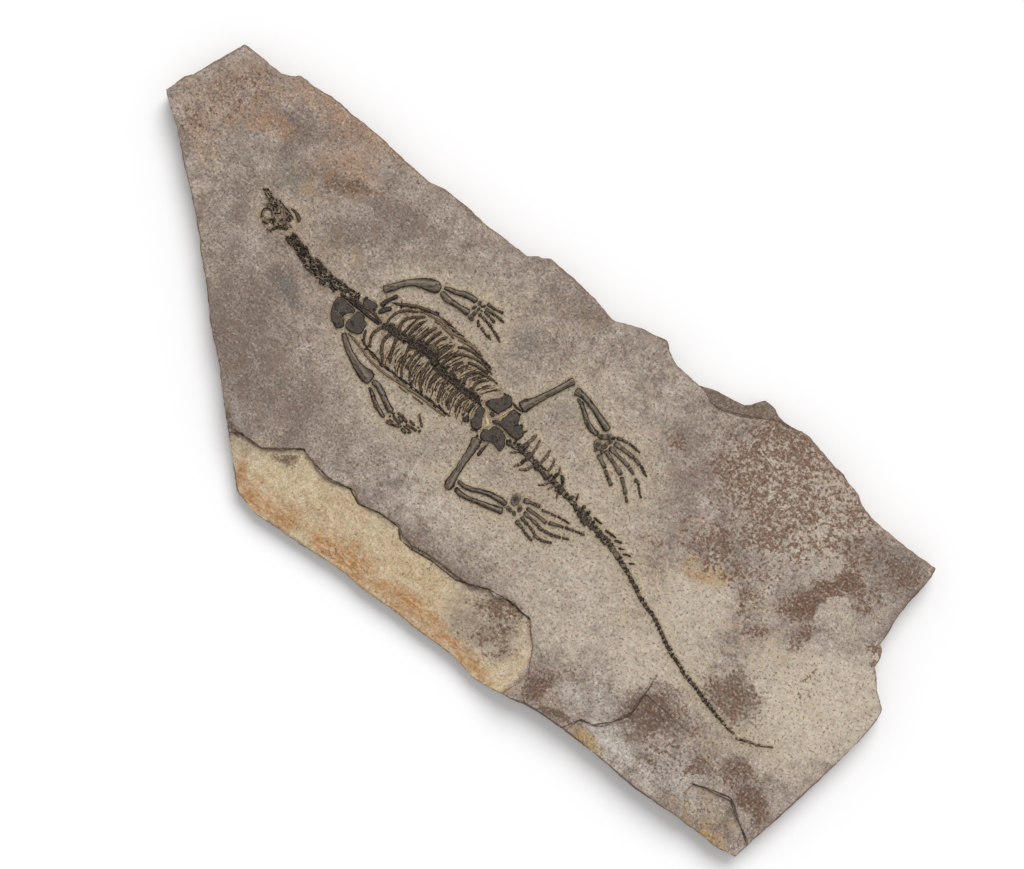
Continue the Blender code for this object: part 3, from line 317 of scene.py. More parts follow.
# Turns a plain solid into weathered bone, and gives it its look and its body
def weather(piece, kind, darkSpots=()):
    cell, swell, wave, pits, blocks, ceiling = boneShaping[kind]
    for vertex in piece.data.vertices:
        over = vertex.co.z / mm - boneFoot - ceiling
        if over > 0:
            vertex.co.z = (boneFoot + ceiling + 0.12 * over) * mm
    applyModifier(piece, "REMESH", mode="VOXEL", voxel_size=cell * mm)
    applyModifier(piece, "SMOOTH", factor=0.5, iterations=2)
    applyModifier(piece, "DISPLACE", texture=blockTexture, strength=-blocks * mm, mid_level=0.45,
                  texture_coords="LOCAL")
    applyModifier(piece, "DISPLACE", texture=waveTexture, strength=wave * mm, texture_coords="LOCAL")
    applyModifier(piece, "DISPLACE", texture=pitTexture, strength=pits * mm, texture_coords="LOCAL")
    if swell:
        applyModifier(piece, "DISPLACE", strength=swell * mm, mid_level=0.0)
    pick(piece)
    bpy.ops.object.shade_smooth()
    if darkSpots:
        places = readArray(piece, "co", 3) / mm
        pitch = np.zeros(len(places))
        for x, y, radius in darkSpots:
            pitch = np.maximum(pitch, eased(1.3 - np.hypot(places[:, 0] - x, places[:, 1] - y) / radius))
        addLayer(piece, "pitch", pitch)
    if kind == "limb":
        measureShaft(piece)
    piece.data.materials.append(boneMaterials[kind])
    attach(piece, "root")
    bonePieces.append(piece)


def dressBones():
    for nodeName in sorted(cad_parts):
        if nodeName == "matrix_slab" or nodeName in limbEnds:
            continue
        piece = copyNode(nodeName, nodeName + "_fossil")
        weather(piece, boneKind(nodeName), spineSpots if "backbone" in nodeName else ())
        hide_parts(nodeName)
    print("bones dressed:", len(bonePieces), sum(len(p.data.polygons) for p in bonePieces))


# Thin bones and splinters: each strand is a row of places and widths, drawn as one spline of a shared curve,
# flattened on the stone and grown together
def makeStrands(name, strands, kind, tallest, lift=0.0, darkSpots=()):
    deselectAll()
    line = bpy.data.curves.new(name, "CURVE")
    line.dimensions = "3D"
    line.bevel_depth = 0.5 * mm
    line.bevel_resolution = 1
    line.resolution_u = 3
    line.use_fill_caps = True
    for strand in strands:
        spline = line.splines.new("NURBS")
        spline.points.add(len(strand) - 1)
        spline.order_u = min(3, len(strand))
        spline.use_endpoint_u = True
        for point, (x, y, width) in zip(spline.points, strand):
            point.co = (x * mm, y * mm, (boneFoot + lift + 0.3 * width) * mm, 1.0)
            point.radius = width
    piece = bpy.data.objects.new(name, line)
    bpy.context.scene.collection.objects.link(piece)
    pick(piece)
    bpy.ops.object.convert(target="MESH")
    piece = bpy.context.object
    bpy.ops.object.mode_set(mode="EDIT")
    bpy.ops.mesh.select_all(action="SELECT")
    bpy.ops.mesh.remove_doubles(threshold=0.000002)
    bpy.ops.mesh.normals_make_consistent(inside=False)
    bpy.ops.object.mode_set(mode="OBJECT")
    for vertex in piece.data.vertices:
        up = max(vertex.co.z / mm - boneFoot, -0.4)
        vertex.co.z = (boneFoot + (up if up < 0 else tallest * (1 - math.exp(-up / tallest)))) * mm
    weather(piece, kind, darkSpots)
    return piece


# A short thick block of bone as a strand, from its middle, length, width and turn
def block(x, y, length, width, turn):
    dx, dy = length / 2 * math.cos(math.radians(turn)), length / 2 * math.sin(math.radians(turn))
    marks = [(-1, 0.55), (-0.6, 1.0), (0.6, 1.0), (1, 0.55)]
    return [(x + dx * place, y + dy * place, width * share) for place, share in marks]


# A finger or toe bone between two joints, from its ends and its widths near, in the shaft and far
def fingerBone(ax, ay, bx, by, near, shaft, far):
    marks = [(0, 0.8 * near), (0.14, near), (0.38, shaft), (0.64, shaft), (0.88, far), (1, 0.75 * far)]
    return [(ax + (bx - ax) * t, ay + (by - ay) * t, width) for t, width in marks]


# Hands and feet: the bones between joints, then the small wrist and ankle bones (x, y, length, width, turn)
limbEnds = {
    "right_hand": {
        "bones": [
            (-70.4, 87, -62.4, 86.6, 3.2, 2, 2.4), (-61.6, 87, -56, 88.4, 1.8, 2, 2.8),
            (-69, 83.2, -59.4, 83, 2.6, 2, 2.8), (-58.4, 83.4, -53.8, 83.2, 2.5, 2, 2.6),
            (-52.9, 83, -50.8, 82.4, 2.4, 2, 1.2), (-68.4, 81, -62.6, 79.4, 2.8, 2.2, 2.2),
            (-61.8, 79.2, -57, 78.4, 2, 2, 2.8), (-67.6, 76, -62.8, 75.2, 2.3, 2.2, 2.4),
            (-62, 75, -57.2, 74, 2.2, 2.2, 2.9), (-56.4, 73.4, -53.6, 72.4, 2, 1.8, 2),
            (-52.8, 72.2, -49.4, 71, 2.2, 2.1, 2.7), (-48.5, 70.5, -46.4, 69.9, 2.6, 2, 2.1),
            (-46, 69.2, -43.6, 67.8, 1.7, 1.4, 1), (-68.6, 72, -65, 68, 2, 2, 3.1),
            (-62.8, 68.5, -59, 67.2, 2.6, 2, 2.2), (-53, 65.8, -50.4, 65.2, 1.6, 1.2, 1),
        ],
        "lumps": [
            (-75.6, 83.6, 3.7, 2.5, 80), (-72.7, 82.3, 2, 1.7, 0), (-71.1, 83.9, 2.2, 1.9, 30),
            (-77.1, 78.2, 4.2, 2.3, 65), (-73.5, 79.1, 2.9, 2.3, 90), (-70.7, 79.4, 1.6, 1.5, 0),
            (-69.6, 76.2, 3, 2.5, 90), (-74.2, 74.4, 4.8, 3.2, 80), (-74, 69.9, 4.2, 4, 0),
            (-57.2, 66.4, 1.9, 1.7, 0), (-54.6, 66.4, 2.9, 2.6, 40),
        ]},
    "left_hand": {
        "bones": [
            (-75, -26.2, -70, -25.5, 2.6, 2, 2.4), (-69.6, -26.2, -65, -27.7, 2.4, 2.2, 2.6),
            (-73, -28.2, -68, -29.2, 2.2, 2.4, 2.8), (-75.2, -31.2, -68.6, -31.6, 2.2, 1.8, 2.2),
            (-77.8, -36.8, -72.6, -36.3, 3.6, 2.4, 2.2), (-72.2, -36, -66.4, -32.8, 2.4, 2.6, 1.8),
            (-77.4, -34, -73.8, -34.3, 1.2, 1.1, 1.2), (-66, -31.5, -58.2, -31.7, 1.2, 1.1, 1.4),
            (-64.4, -29.7, -58.8, -28.8, 1.8, 1.5, 2), (-58.4, -28.7, -54.8, -28.6, 2, 2, 2.8),
            (-65.2, -34.5, -60.4, -34.9, 2.8, 2.6, 3), (-59.2, -34, -57.7, -31.6, 2, 1.7, 2),
            (-63.6, -25.4, -58.2, -25.9, 2, 1.8, 1.8),
        ],
        "lumps": [
            (-77.9, -28.5, 2.7, 2.2, 20), (-76.2, -30.2, 2, 1.8, 0), (-78.6, -31.9, 1.9, 1.4, 80),
            (-55, -25.4, 1.4, 1.3, 0), (-52.6, -27.3, 2, 1.8, 60),
        ]},
    "right_foot": {
        "bones": [
            (76.8, 63.4, 86.2, 65.8, 2.8, 1.9, 2.7), (87.4, 65.8, 92.6, 65.7, 2.4, 1.6, 2.5),
            (93.8, 65.6, 99, 65, 2.3, 1.3, 1.2), (77.8, 59, 97.2, 59.1, 4.4, 3, 3.7),
            (98.4, 58.6, 104.6, 57.5, 3.7, 2.6, 2.8), (105.4, 57.1, 108.8, 55.8, 2.8, 2.2, 2.8),
            (109.7, 55, 114.6, 53, 2.6, 1.9, 0.9), (77, 53.8, 98.4, 50.9, 4.2, 2.6, 3.7),
            (99.6, 50.2, 105, 48.2, 3.3, 2.4, 2.2), (108.5, 45.7, 111.4, 45, 3.1, 2.6, 2.8),
            (112.3, 44.5, 114, 43.6, 2.4, 2, 2), (114.6, 42.2, 116, 41.1, 2.3, 2, 2.2),
            (116.6, 40.3, 118.4, 38.6, 1.6, 1.4, 1.8), (119.1, 37.9, 121.6, 37, 2, 1.5, 1.2),
            (75.6, 49.8, 97, 42.2, 3.7, 2.6, 4.3), (98.8, 40.7, 109.4, 31.8, 3.7, 2.3, 3.8),
            (110.8, 30.1, 114, 27.4, 2, 1.8, 2.9), (73.2, 44, 83.6, 38.4, 4.6, 3, 3.8),
            (85.2, 37.2, 89.3, 34.3, 3.4, 2.4, 3.1), (90.4, 33.6, 96, 30.6, 3.2, 2.4, 3.9),
        ],
        "lumps": [
            (66.6, 56.8, 5.6, 4.2, 20), (70.6, 60, 6.4, 4.8, 50), (67.8, 49.8, 7.2, 6, -40),
            (68.8, 46.6, 4.4, 3, -75), (73, 52.8, 5.2, 3.9, 85), (73.4, 47.7, 4, 2.9, -40),
            (74.4, 57.6, 3.9, 3.2, 60), (74.9, 61.4, 3.4, 2.2, 80),
        ]},
    "left_foot": {
        "bones": [
            (47.2, -21, 60.8, -17.4, 4.7, 2.2, 3.7), (63.5, -18.4, 70.2, -17, 2.3, 1.5, 1.9),
            (71.3, -16.8, 75.8, -15.9, 2.1, 1.4, 1.9), (76.9, -15.3, 80, -15, 2, 1.5, 1.8),
            (81, -15, 84, -14.2, 2.1, 1.6, 1.8), (84.8, -14.6, 87.6, -14, 2.1, 1.5, 1.2),
            (53.4, -24.6, 72.6, -24.6, 3.4, 2.4, 3.5), (74.2, -23.4, 85.8, -19.2, 3.7, 2.3, 2.3),
            (86.8, -18.8, 94.2, -16.5, 2.5, 1.9, 2.2), (95.1, -16.2, 99, -15.3, 1.9, 1.6, 2.2),
            (99.8, -15, 103, -14.2, 2.4, 1.9, 1), (53.4, -28.7, 68, -30.4, 3.5, 2.2, 3.1),
            (69, -31, 74, -31.2, 3.4, 2.4, 3.2), (75, -30.9, 83, -30, 2.9, 2.1, 2.9),
            (83.9, -29, 89, -27.3, 2.7, 1.9, 2.4), (89.9, -26.7, 95, -24.4, 2.1, 1.7, 2),
            (53.8, -33.3, 61.8, -34.8, 3.4, 2.2, 2.6), (62.7, -35, 69.8, -37.2, 2.2, 1.7, 2.8),
            (70.5, -38.4, 76, -38.8, 3.2, 2.6, 3), (76.9, -38.7, 81, -37.3, 2.5, 2, 2.4),
            (81.9, -36.8, 85.6, -35.2, 2.4, 2, 2.2), (52.4, -37.9, 60, -39.6, 4.4, 2.8, 2.4),
            (60.9, -40.2, 63.4, -41.4, 2.2, 1.7, 2), (64.4, -41.2, 66.9, -42.3, 2.8, 2.2, 2.6),
            (67.9, -42.3, 72, -43.2, 2.8, 2.1, 1.6),
        ],
        "lumps": [
            (41.8, -24.4, 8.8, 7.4, -80), (48.7, -28.3, 5, 4, -60), (42.4, -33.8, 4.4, 3.8, 0),
            (47.4, -34.2, 3.6, 3.1, -30),
        ]},
}
# The crushed skull: darker bars and streaks over the low brown roof, and a thin ring round the eye
skullBars = [
    [(-252.9, 52.9, 1.5), (-249, 52.3, 1.7), (-246, 51, 1.5), (-243, 50.3, 1.5), (-239.5, 50, 1.2)],
    [(-266.5, 54.6, 1.6), (-264, 53.6, 2), (-261, 53.3, 1.5)], [(-269.6, 52.4, 2), (-267.6, 52.2, 2.4),
    (-266, 52.8, 1.6)], [(-265.5, 50.5, 1.4), (-263.5, 49.2, 1.8), (-262, 49, 1.4)], [(-261.8, 49.1, 1.7),
    (-260.2, 48.6, 2.1), (-259, 48.4, 1.3)], [(-265, 52.2, 1.2), (-262, 51.4, 1.7), (-259.5, 51, 1.9),
    (-257.2, 50.8, 1.7)], [(-256, 52.4, 1.3), (-254.6, 51.2, 1.7), (-254, 50.4, 1.4)], [(-255.6, 49.6, 1.4),
    (-253.6, 48.9, 2.2), (-252.2, 48.3, 1.7)], [(-257.6, 46.6, 1.5), (-255, 46.5, 2), (-253, 46.8, 1.7),
    (-251, 47, 1.3)], [(-254, 45.5, 1.7), (-252.8, 44.2, 2.4), (-251.4, 43.9, 1.7)], [(-259.6, 44.2, 1.5),
    (-258, 43.9, 1.9), (-256.6, 44, 1.3)], [(-251, 39.3, 1.5), (-251.4, 41, 1.4), (-253, 42.4, 1.2),
    (-255, 42.8, 1), (-257.4, 41.9, 1.2), (-258.8, 40.3, 1.3), (-259.1, 38.2, 1.3), (-258.4, 36.2, 1.2),
    (-257.4, 34.8, 1.4)], [(-257.6, 34, 2.1), (-256.2, 33.2, 1.6)], [(-253.8, 31, 2.2), (-252, 31.7, 2.6),
    (-250, 31.9, 2.3), (-248.2, 32.6, 1.7)], [(-249.9, 35.6, 2.2), (-248.2, 37.2, 3.4), (-246.6, 38.6, 2.6),
    (-246.1, 40, 1.6)], [(-247, 36.2, 2.8), (-245.6, 35, 2.4), (-244.9, 34.2, 1.5)], [(-243.8, 30.8, 1.8),
    (-242.6, 33, 3), (-240.8, 35.4, 3.6), (-238.6, 37, 3.8), (-236.4, 37.8, 3.4), (-234.6, 38.6, 2.8),
    (-233.8, 39.2, 2)], [(-248, 28, 1.8), (-246, 29, 1.8), (-244.4, 29.2, 1.3)], [(-243.8, 30.4, 1.5),
    (-243.6, 28.2, 1.4)], [(-243.6, 48.2, 1.5), (-242, 47.6, 2), (-240.6, 47.6, 1.7)], [(-239.8, 48.2, 1.5),
    (-237.6, 48.4, 1.7), (-235.8, 48, 1.3)], [(-239.4, 46.4, 1.7), (-238, 46, 2.2), (-236, 45.2, 1.9),
    (-235, 45.1, 1.3)], [(-239.6, 44, 1.5), (-238, 43.6, 1.7), (-236.4, 43.9, 1.3)], [(-232.8, 41.3, 2),
    (-231.4, 41.5, 1.6)], [(-242.6, 40.2, 2.4), (-241.8, 41.6, 2.2), (-241.4, 42.4, 1.5)], [(-244.2, 36.9, 1),
    (-242.6, 37.2, 1.1)], [(-238.2, 42, 1.2), (-237.6, 40.4, 1.3), (-237.4, 38.8, 1.1)], [(-249.6, 42.2, 1.3),
    (-248.6, 43.4, 1.7), (-247, 44.4, 1.5), (-246.2, 45.6, 1.3)], [(-249.4, 49.2, 1.4), (-247.6, 49.2, 1.3)],
]
# Broken edges, arches and side bones of the neck, and the black band by the shoulder
neckBars = [
    [(-229, 38, 1.5), (-226, 38.8, 1.8), (-222, 37.8, 1.5)], [(-228.5, 36.5, 1.7), (-227.5, 34.6, 2),
    (-225, 35.5, 1.7)], [(-231, 33, 1.8), (-228.5, 32, 2.4), (-225.5, 30.4, 2.6), (-222.5, 30.2, 1.7)],
    [(-222, 33.4, 1.7), (-219.5, 34, 2.6), (-217, 35.8, 2.4), (-218.5, 37.4, 1.5)], [(-221.5, 30, 2),
    (-219, 29.2, 2), (-216.5, 30, 1.3)], [(-214.4, 35.5, 2), (-212.6, 36, 2.4), (-211, 35, 1.5)],
    [(-213.4, 33.4, 1.5), (-211, 31.8, 2), (-208, 31, 1.5)], [(-214.6, 28.4, 1.5), (-212, 27.2, 2),
    (-209.6, 25.4, 2), (-208.4, 24.4, 1.3)], [(-207.6, 30.6, 1.4), (-204.6, 31.2, 1.7), (-202.4, 31.6, 1.8),
    (-200.4, 30, 1.5)], [(-206.5, 23, 1.5), (-204, 22.6, 1.8), (-201, 22, 1.3)], [(-203.5, 28.2, 1.3),
    (-201, 26.4, 2), (-199.6, 25.4, 2.4), (-197.2, 25, 1.7)], [(-202.8, 33.4, 1.3), (-199.6, 33.6, 1.3),
    (-196, 32.6, 1.3), (-193.4, 32, 1.1)], [(-199.4, 29.4, 1.5), (-196.4, 29, 1.5), (-193, 29, 1.5),
    (-190.2, 28.4, 1.3)], [(-200, 22.4, 1.5), (-197.4, 21.4, 1.7), (-195, 21.8, 1.3)], [(-191.6, 31.2, 1.3),
    (-188, 31.6, 1.5), (-184.6, 31, 1.3), (-181.6, 29.6, 1.1)], [(-192.4, 25.2, 1.3), (-190, 25.6, 1.4),
    (-188.6, 24.2, 1.1)], [(-188.6, 19.8, 2.6), (-186, 20.4, 3.2), (-184.4, 22.4, 2.6), (-184.8, 24.2, 1.7),
    (-182.4, 25.2, 1.3)], [(-180.4, 29.8, 1.5), (-177.6, 30.2, 2.2), (-174.8, 29.6, 2.4), (-173, 31, 1.5)],
    [(-178.4, 22.6, 1.7), (-176.2, 21.8, 2.2), (-173.8, 20.8, 1.7)], [(-174, 23.6, 1.3), (-171, 25, 1.3),
    (-168, 25.2, 1.1), (-165.4, 25.2, 1.2)], [(-171.8, 30.6, 1.5), (-169.4, 31.6, 1.5), (-168.2, 29.6, 1.3)],
    [(-158.4, 27.4, 1.5), (-158.8, 30.6, 1.7), (-157.2, 32.2, 1.4), (-155.4, 30.6, 1.4), (-155.2, 27.6, 1.3)],
    [(-162, 24.6, 1.5), (-156, 25.8, 2.8), (-150, 25.4, 3.2), (-144, 25.6, 2.8), (-139.4, 26.6, 2.4),
    (-134, 24.8, 2.2), (-128.6, 23.8, 2.4)], [(-151.6, 29.4, 1.5), (-151, 32.4, 1.7), (-149.4, 33.8, 1.3)],
    [(-141.6, 33.4, 1.4), (-139.4, 31, 1.6), (-139, 28, 2)],
]

# Dark ends of bones, arches and scraps round the hip plates
hipBars = [
    [(-6.6, 36.4, 1.6), (-4.4, 34.8, 1.8), (-1, 34.2, 1.8), (4.4, 34.8, 1.6)], [(0.4, 31.6, 1.6),
    (4.4, 31.8, 1.4)], [(9.2, 26.2, 2.2), (10.8, 25, 2.6), (11.4, 23.8, 1.8)], [(16.2, 25, 1.3),
    (14.8, 22.4, 1.8)], [(13.4, 21.8, 2.4), (15.2, 22.2, 2)], [(13.6, 14.6, 1.6), (14.4, 12.2, 2.2),
    (13.6, 10, 2.4)], [(8.8, 10.8, 2.4), (11.4, 9.8, 1.8)], [(7.4, 9.6, 1), (9.4, 6.8, 2), (10.8, 6.4, 2.2),
    (13.2, 7.4, 1.6), (15.6, 7, 1.6)], [(-20.8, -1.4, 1.5), (-18, -0.8, 1.8), (-15.6, 1, 1.4)],
    [(-14.4, -2.4, 2.4), (-12.2, -2.6, 2.2)], [(-15.6, 18.4, 2.4), (-13.4, 18.8, 2.2)], [(-30.6, 16.6, 1.4),
    (-31, 12, 1.8), (-30, 8, 1.6)], [(-28.6, 4.6, 1.8), (-27, 3.6, 2), (-25.4, 2.6, 1.4)], [(-17, 37.4, 1.4),
    (-12.6, 38.8, 1.6)],
]
# Vertebrae of the front of the tail: x, y, length, width, turn
tailBlocks = [
    (18.4, 11.8, 4.4, 3.2, -10), (22.5, 14.5, 5.5, 4, 80), (22, 9.2, 5.5, 3.4, 5), (29.5, 9.6, 6, 4.6, 90),
    (28.4, 4, 6, 2.4, 75), (37.4, 8, 6.4, 3.6, -40), (39.5, 5.2, 4, 3, -50), (44, 8.8, 8, 1.6, -4),
    (44, 5.2, 7, 2.2, -8), (48.6, 4.4, 7, 3, -25), (52.6, 6.4, 6, 2, 85), (55.8, 9.4, 6, 2.4, 90),
    (57, 5, 4, 3.4, 60), (61.4, 11.6, 4.5, 2.8, -30), (63.6, 8.2, 6, 1.9, -65), (63.2, 2.8, 5, 3.2, 80),
    (66.8, 2.6, 5, 3.2, 85), (72, 2.4, 4.6, 2.4, 85), (76.4, 3, 5, 3, 70), (80, 6.2, 6, 1.1, -72),
    (82.6, -0.4, 3.4, 3, -40), (85, -2.4, 3, 2.2, -40), (89, 3.2, 3.2, 2.8, 90), (88.6, -0.6, 3.5, 3, 0),
    (90, -4, 4, 3, 0), (94.4, 1, 5, 3, 80), (95, -4.6, 6, 4, 80), (98, -5.4, 5.6, 3.6, 80),
    (102.4, -1.6, 3.6, 2.2, 90), (103.4, -5, 5.4, 3.2, -75), (106.4, -4, 3.4, 1.8, -60),
    (111, -6.2, 5, 3, 75), (113, -7, 4.4, 2.6, 80), (117.4, -6.4, 4.6, 2.4, 80), (120.8, -6.6, 4.4, 2.4, 75),
    (118.4, -10, 6, 1.2, -6), (124.4, -8, 4.4, 2.6, 70), (104.6, 1.4, 7, 1.2, -3), (118.6, -1.2, 9, 1.1, 1),
    (127.6, -2.4, 6, 1, 18),
]
# Cream calcite that fills the cracks between the plates
calciteBits = [
    [(-5.4, 15, 0.9), (-2, 14.6, 1), (2, 13.4, 1), (7.2, 11.4, 0.7)], [(-3.2, 32.4, 1.6), (-4.8, 29.6, 1.7),
    (-6.6, 25.6, 1.8), (-7.6, 22, 1.7), (-9.4, 18.6, 1.4), (-12.4, 16.2, 1.4)], [(-22.4, 20.3, 1),
    (-18.4, 19.8, 1.4), (-17.2, 18.2, 1.2)], [(-18.4, 17.6, 1.3), (-17.6, 14, 1.5), (-14.2, 12.2, 3.2),
    (-11.4, 9.6, 2.8), (-13.4, 6.8, 1.5), (-13.8, 1.6, 0.9)], [(-27.4, 14, 0.9), (-27.2, 10, 1.3),
    (-26.4, 7.6, 1)], [(-18.4, 3.6, 1.5), (-17.8, 2.6, 1.3)], [(9.4, 13, 0.9), (11, 12.4, 1.1)],
    [(-4.8, -2.4, 0.9), (-5.2, -6, 0.9), (-5.4, -10, 0.7)], [(-155.4, 12, 2), (-154, 14.4, 2.8),
    (-152, 16.6, 1.8)], [(-156.8, 10.8, 1.2), (-154.2, 9.6, 1.6), (-153.6, 8.2, 1)], [(-140.9, 18.8, 1.3),
    (-140.3, 16.6, 1.7)], [(-155.6, 22.6, 1.6), (-153.2, 23.4, 1.6)], [(-150.8, 22.6, 2),
    (-150.4, 20.8, 1.6)], [(-163.6, 23.9, 0.9), (-159.8, 24.1, 0.9)], [(-139.6, 23.4, 0.9), (-135, 23.3, 1)],
    [(-136.2, 27, 1.4), (-134.4, 26.6, 1.2)], [(-130, 28, 1.6), (-131.6, 28.4, 1.3)], [(-125.2, 20.9, 1),
    (-125.6, 22.2, 1.1)], [(-142, 1.4, 1.6), (-138.6, 2.2, 1.5)], [(-231, 37.6, 1.6), (-229.8, 39.4, 1.2)],
    [(-257, 46, 0.7), (-252, 40.8, 0.7), (-250.6, 38.4, 0.8)], [(-243.8, 34.4, 0.9), (-242, 36.4, 1),
    (-238.6, 38.2, 0.9)],
]
# Crushed bone along the backbone between the ribs, and small knobs along the tail
spineLine = [(-127, 24, 2.6), (-112, 25.6, 3.6), (-100, 26.5, 5.2), (-90, 27.5, 6.4), (-80, 27, 6.0),
             (-72, 24, 4.4), (-60, 22, 3.8), (-48, 21.8, 3.6), (-36, 21, 3.2), (-26, 20.6, 2.4)]
tailLine = [(12, 9.4, 2.6), (22, 9.8, 3.6), (36, 8.4, 4.0), (52, 6, 3.8), (66, 3, 3.4), (80, 0.6, 2.8),
            (92, -2, 3.8), (104, -4.6, 3.0), (118, -7, 2.6), (134, -11.8, 2.3), (150, -18, 2.0),
            (166, -26, 1.7), (184, -32.2, 1.6), (204, -42.4, 1.5), (226, -51.8, 1.4), (250, -59, 1.4),
            (272, -65.4, 1.4), (290, -69, 0.9)]
skullLine = [(-263, 52.2, 0.8), (-257, 50, 1.6), (-250, 48, 3.2), (-244, 45.4, 3.8), (-239, 43, 3.4)]
spineSpots = []
for (ax, ay, aw), (bx, by, bw) in zip(spineLine, spineLine[1:]):
    spineSpots += [(ax + (bx - ax) * t / 6, ay + (by - ay) * t / 6, 0.45 * aw + 1.3) for t in range(6)]
dressBones()


def makeLimbEnds():
    for nodeName, rows in limbEnds.items():
        strands = [fingerBone(*row) for row in rows["bones"]] + [block(*row) for row in rows["lumps"]]
        joints = [(row[0], row[1], 0.4 * row[4] + 0.3) for row in rows["bones"]]
        joints += [(row[2], row[3], 0.4 * row[6] + 0.3) for row in rows["bones"]]
        joints += [(row[0], row[1], 0.45 * row[3]) for row in rows["lumps"]]
        piece = makeStrands(nodeName + "_fossil", strands, "digit", 2.6, lift=0.2, darkSpots=joints)
        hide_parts(nodeName)
    print("hands and feet laid:", len(limbEnds))


makeLimbEnds()
makeStrands("neck_splinters", neckBars, "lump", 5.0, lift=1.5)
makeStrands("hip_scraps", hipBars, "lump", 3.0, lift=0.7)
makeStrands("calcite_fill", calciteBits, "calcite", 1.3, lift=0.4)


# Splinters scattered along a centre line: (x, y, half spread), each within reach of the line
def scatter(line, gap, widths, lengths, seed, crosswise=0.5):
    draw = random.Random(seed)
    strands = []
    for (ax, ay, aw), (bx, by, bw) in zip(line, line[1:]):
        reach = math.hypot(bx - ax, by - ay)
        for n in range(max(1, round(reach / gap))):
            t = (n + draw.random()) / max(1, round(reach / gap))
            aside = draw.uniform(-1, 1) * (aw + (bw - aw) * t)
            along = math.atan2(by - ay, bx - ax)
            x = ax + (bx - ax) * t - math.sin(along) * aside
            y = ay + (by - ay) * t + math.cos(along) * aside
            if draw.random() < crosswise:
                turn = along + draw.gauss(1.57, 0.5)
            else:
                turn = along + draw.gauss(0, 0.35 * crosswise + 0.1)
            half = draw.uniform(*lengths) / 2
            width = draw.uniform(*widths)
            bend = draw.uniform(-0.25, 0.25) * half
            dx, dy = math.cos(turn), math.sin(turn)
            strands.append([(x - dx * half, y - dy * half, 0.7 * width),
                            (x - dy * bend, y + dx * bend, width),
                            (x + dx * half, y + dy * half, 0.7 * width)])
    return strands


# Beads along the thin end of the tail: each a block across the line, a little out of place
def beads(line, gap, seed):
    draw = random.Random(seed)
    made = []
    for (ax, ay, aw), (bx, by, bw) in zip(line, line[1:]):
        count = max(1, round(math.hypot(bx - ax, by - ay) / gap))
        turn = math.degrees(math.atan2(by - ay, bx - ax)) + 90
        for n in range(count):
            t = (n + 0.5 + draw.uniform(-0.16, 0.16)) / count
            wide = 1.6 * (aw + (bw - aw) * t) * draw.uniform(0.8, 1.15)
            x = ax + (bx - ax) * t + draw.uniform(-0.2, 0.2)
            y = ay + (by - ay) * t + draw.uniform(-0.35, 0.35)
            made.append(block(x, y, wide + 0.8, min(0.62 * gap, wide), turn + draw.gauss(0, 18)))
    return made


thinTail = [place for place in tailLine if place[0] > 130]
thinBars = [[(x, y, 0.8 * width) for x, y, width in bar] for bar in skullBars]
skullSplinters = scatter(skullLine, 1.8, (0.5, 0.8), (1.6, 4.4), 9)
makeStrands("skull_bars", thinBars + skullSplinters, "lump", 3.0, lift=0.7)
makeStrands("spine_splinters", scatter(spineLine, 0.6, (1.2, 2.8), (1.6, 4.4), 3), "lump", 5.0, lift=1.3)
tailChain = [block(x, y, 1.08 * length, 1.18 * width, turn) for x, y, length, width, turn in tailBlocks]
makeStrands("tail_vertebrae_blocks", tailChain + beads(thinTail, 4.0, 5), "lump", 4.5, lift=0.7)


# Fine belly ribs pressed between the ribs: they run across the trunk, leaning with the flank they lie on
def bellyThreads():
    draw = random.Random(11)
    threads = []
    for n in range(64):
        x = -111 + n * 1.3 + draw.uniform(-0.5, 0.5)
        share = (x + 111) / 84
        # Upper flank: from beside the backbone towards the outer ribs, leaning more towards the hips
        if draw.random() < 0.95:
            lean = 0.12 + 0.75 * share + draw.uniform(-0.08, 0.08)
            low, high = 27 + draw.uniform(-2, 4), 47.5 - 7.5 * share + draw.uniform(-6, 1)
            if high - low > 4:
                middle = (low + high) / 2
                threads.append([(x, low, 0.6),
                                (x + lean * (middle - low) * 0.7, middle, draw.uniform(0.65, 1.0)),
                                (x + lean * (high - low), high, 0.6)])
        # Lower flank
        if draw.random() < 0.95:
            bow = -2.2 + draw.uniform(-0.8, 0.8)
            low, high = -2.0 + draw.uniform(-1, 7), 19.5 + draw.uniform(-5, 1)
            start = x + 1.5
            if high - low > 4:
                middle = (low + high) / 2
                threads.append([(start, high, 0.6), (start + bow, middle, draw.uniform(0.65, 1.0)),
                                (start + 2.2 + 3.0 * (1 - share) * draw.random(), low, 0.6)])
    return threads


# Dark broken strips along both flanks
flankLines = [
    [(-130, 2, 0.8), (-111, -2.2, 0.8), (-90, -2.8, 1.0), (-65, -3, 1.2), (-42, -3, 1.0)],
    [(-128, 43, 0.7), (-113, 51, 0.7), (-98, 56, 0.8), (-76, 54, 1.2), (-54, 51, 1.0), (-35, 43.5, 0.8)],
]
flankStrips = [strip for line in flankLines
               for strip in scatter(line, 2.4, (1.0, 1.9), (4, 10), 21, crosswise=0.04)]
makeStrands("flank_splinters", flankStrips, "lump", 3.0, lift=0.3)
makeStrands("belly_threads", bellyThreads(), "belly", 0.9)
print("splinters and threads laid:", sum(len(p.data.polygons) for p in bonePieces))


# The stone

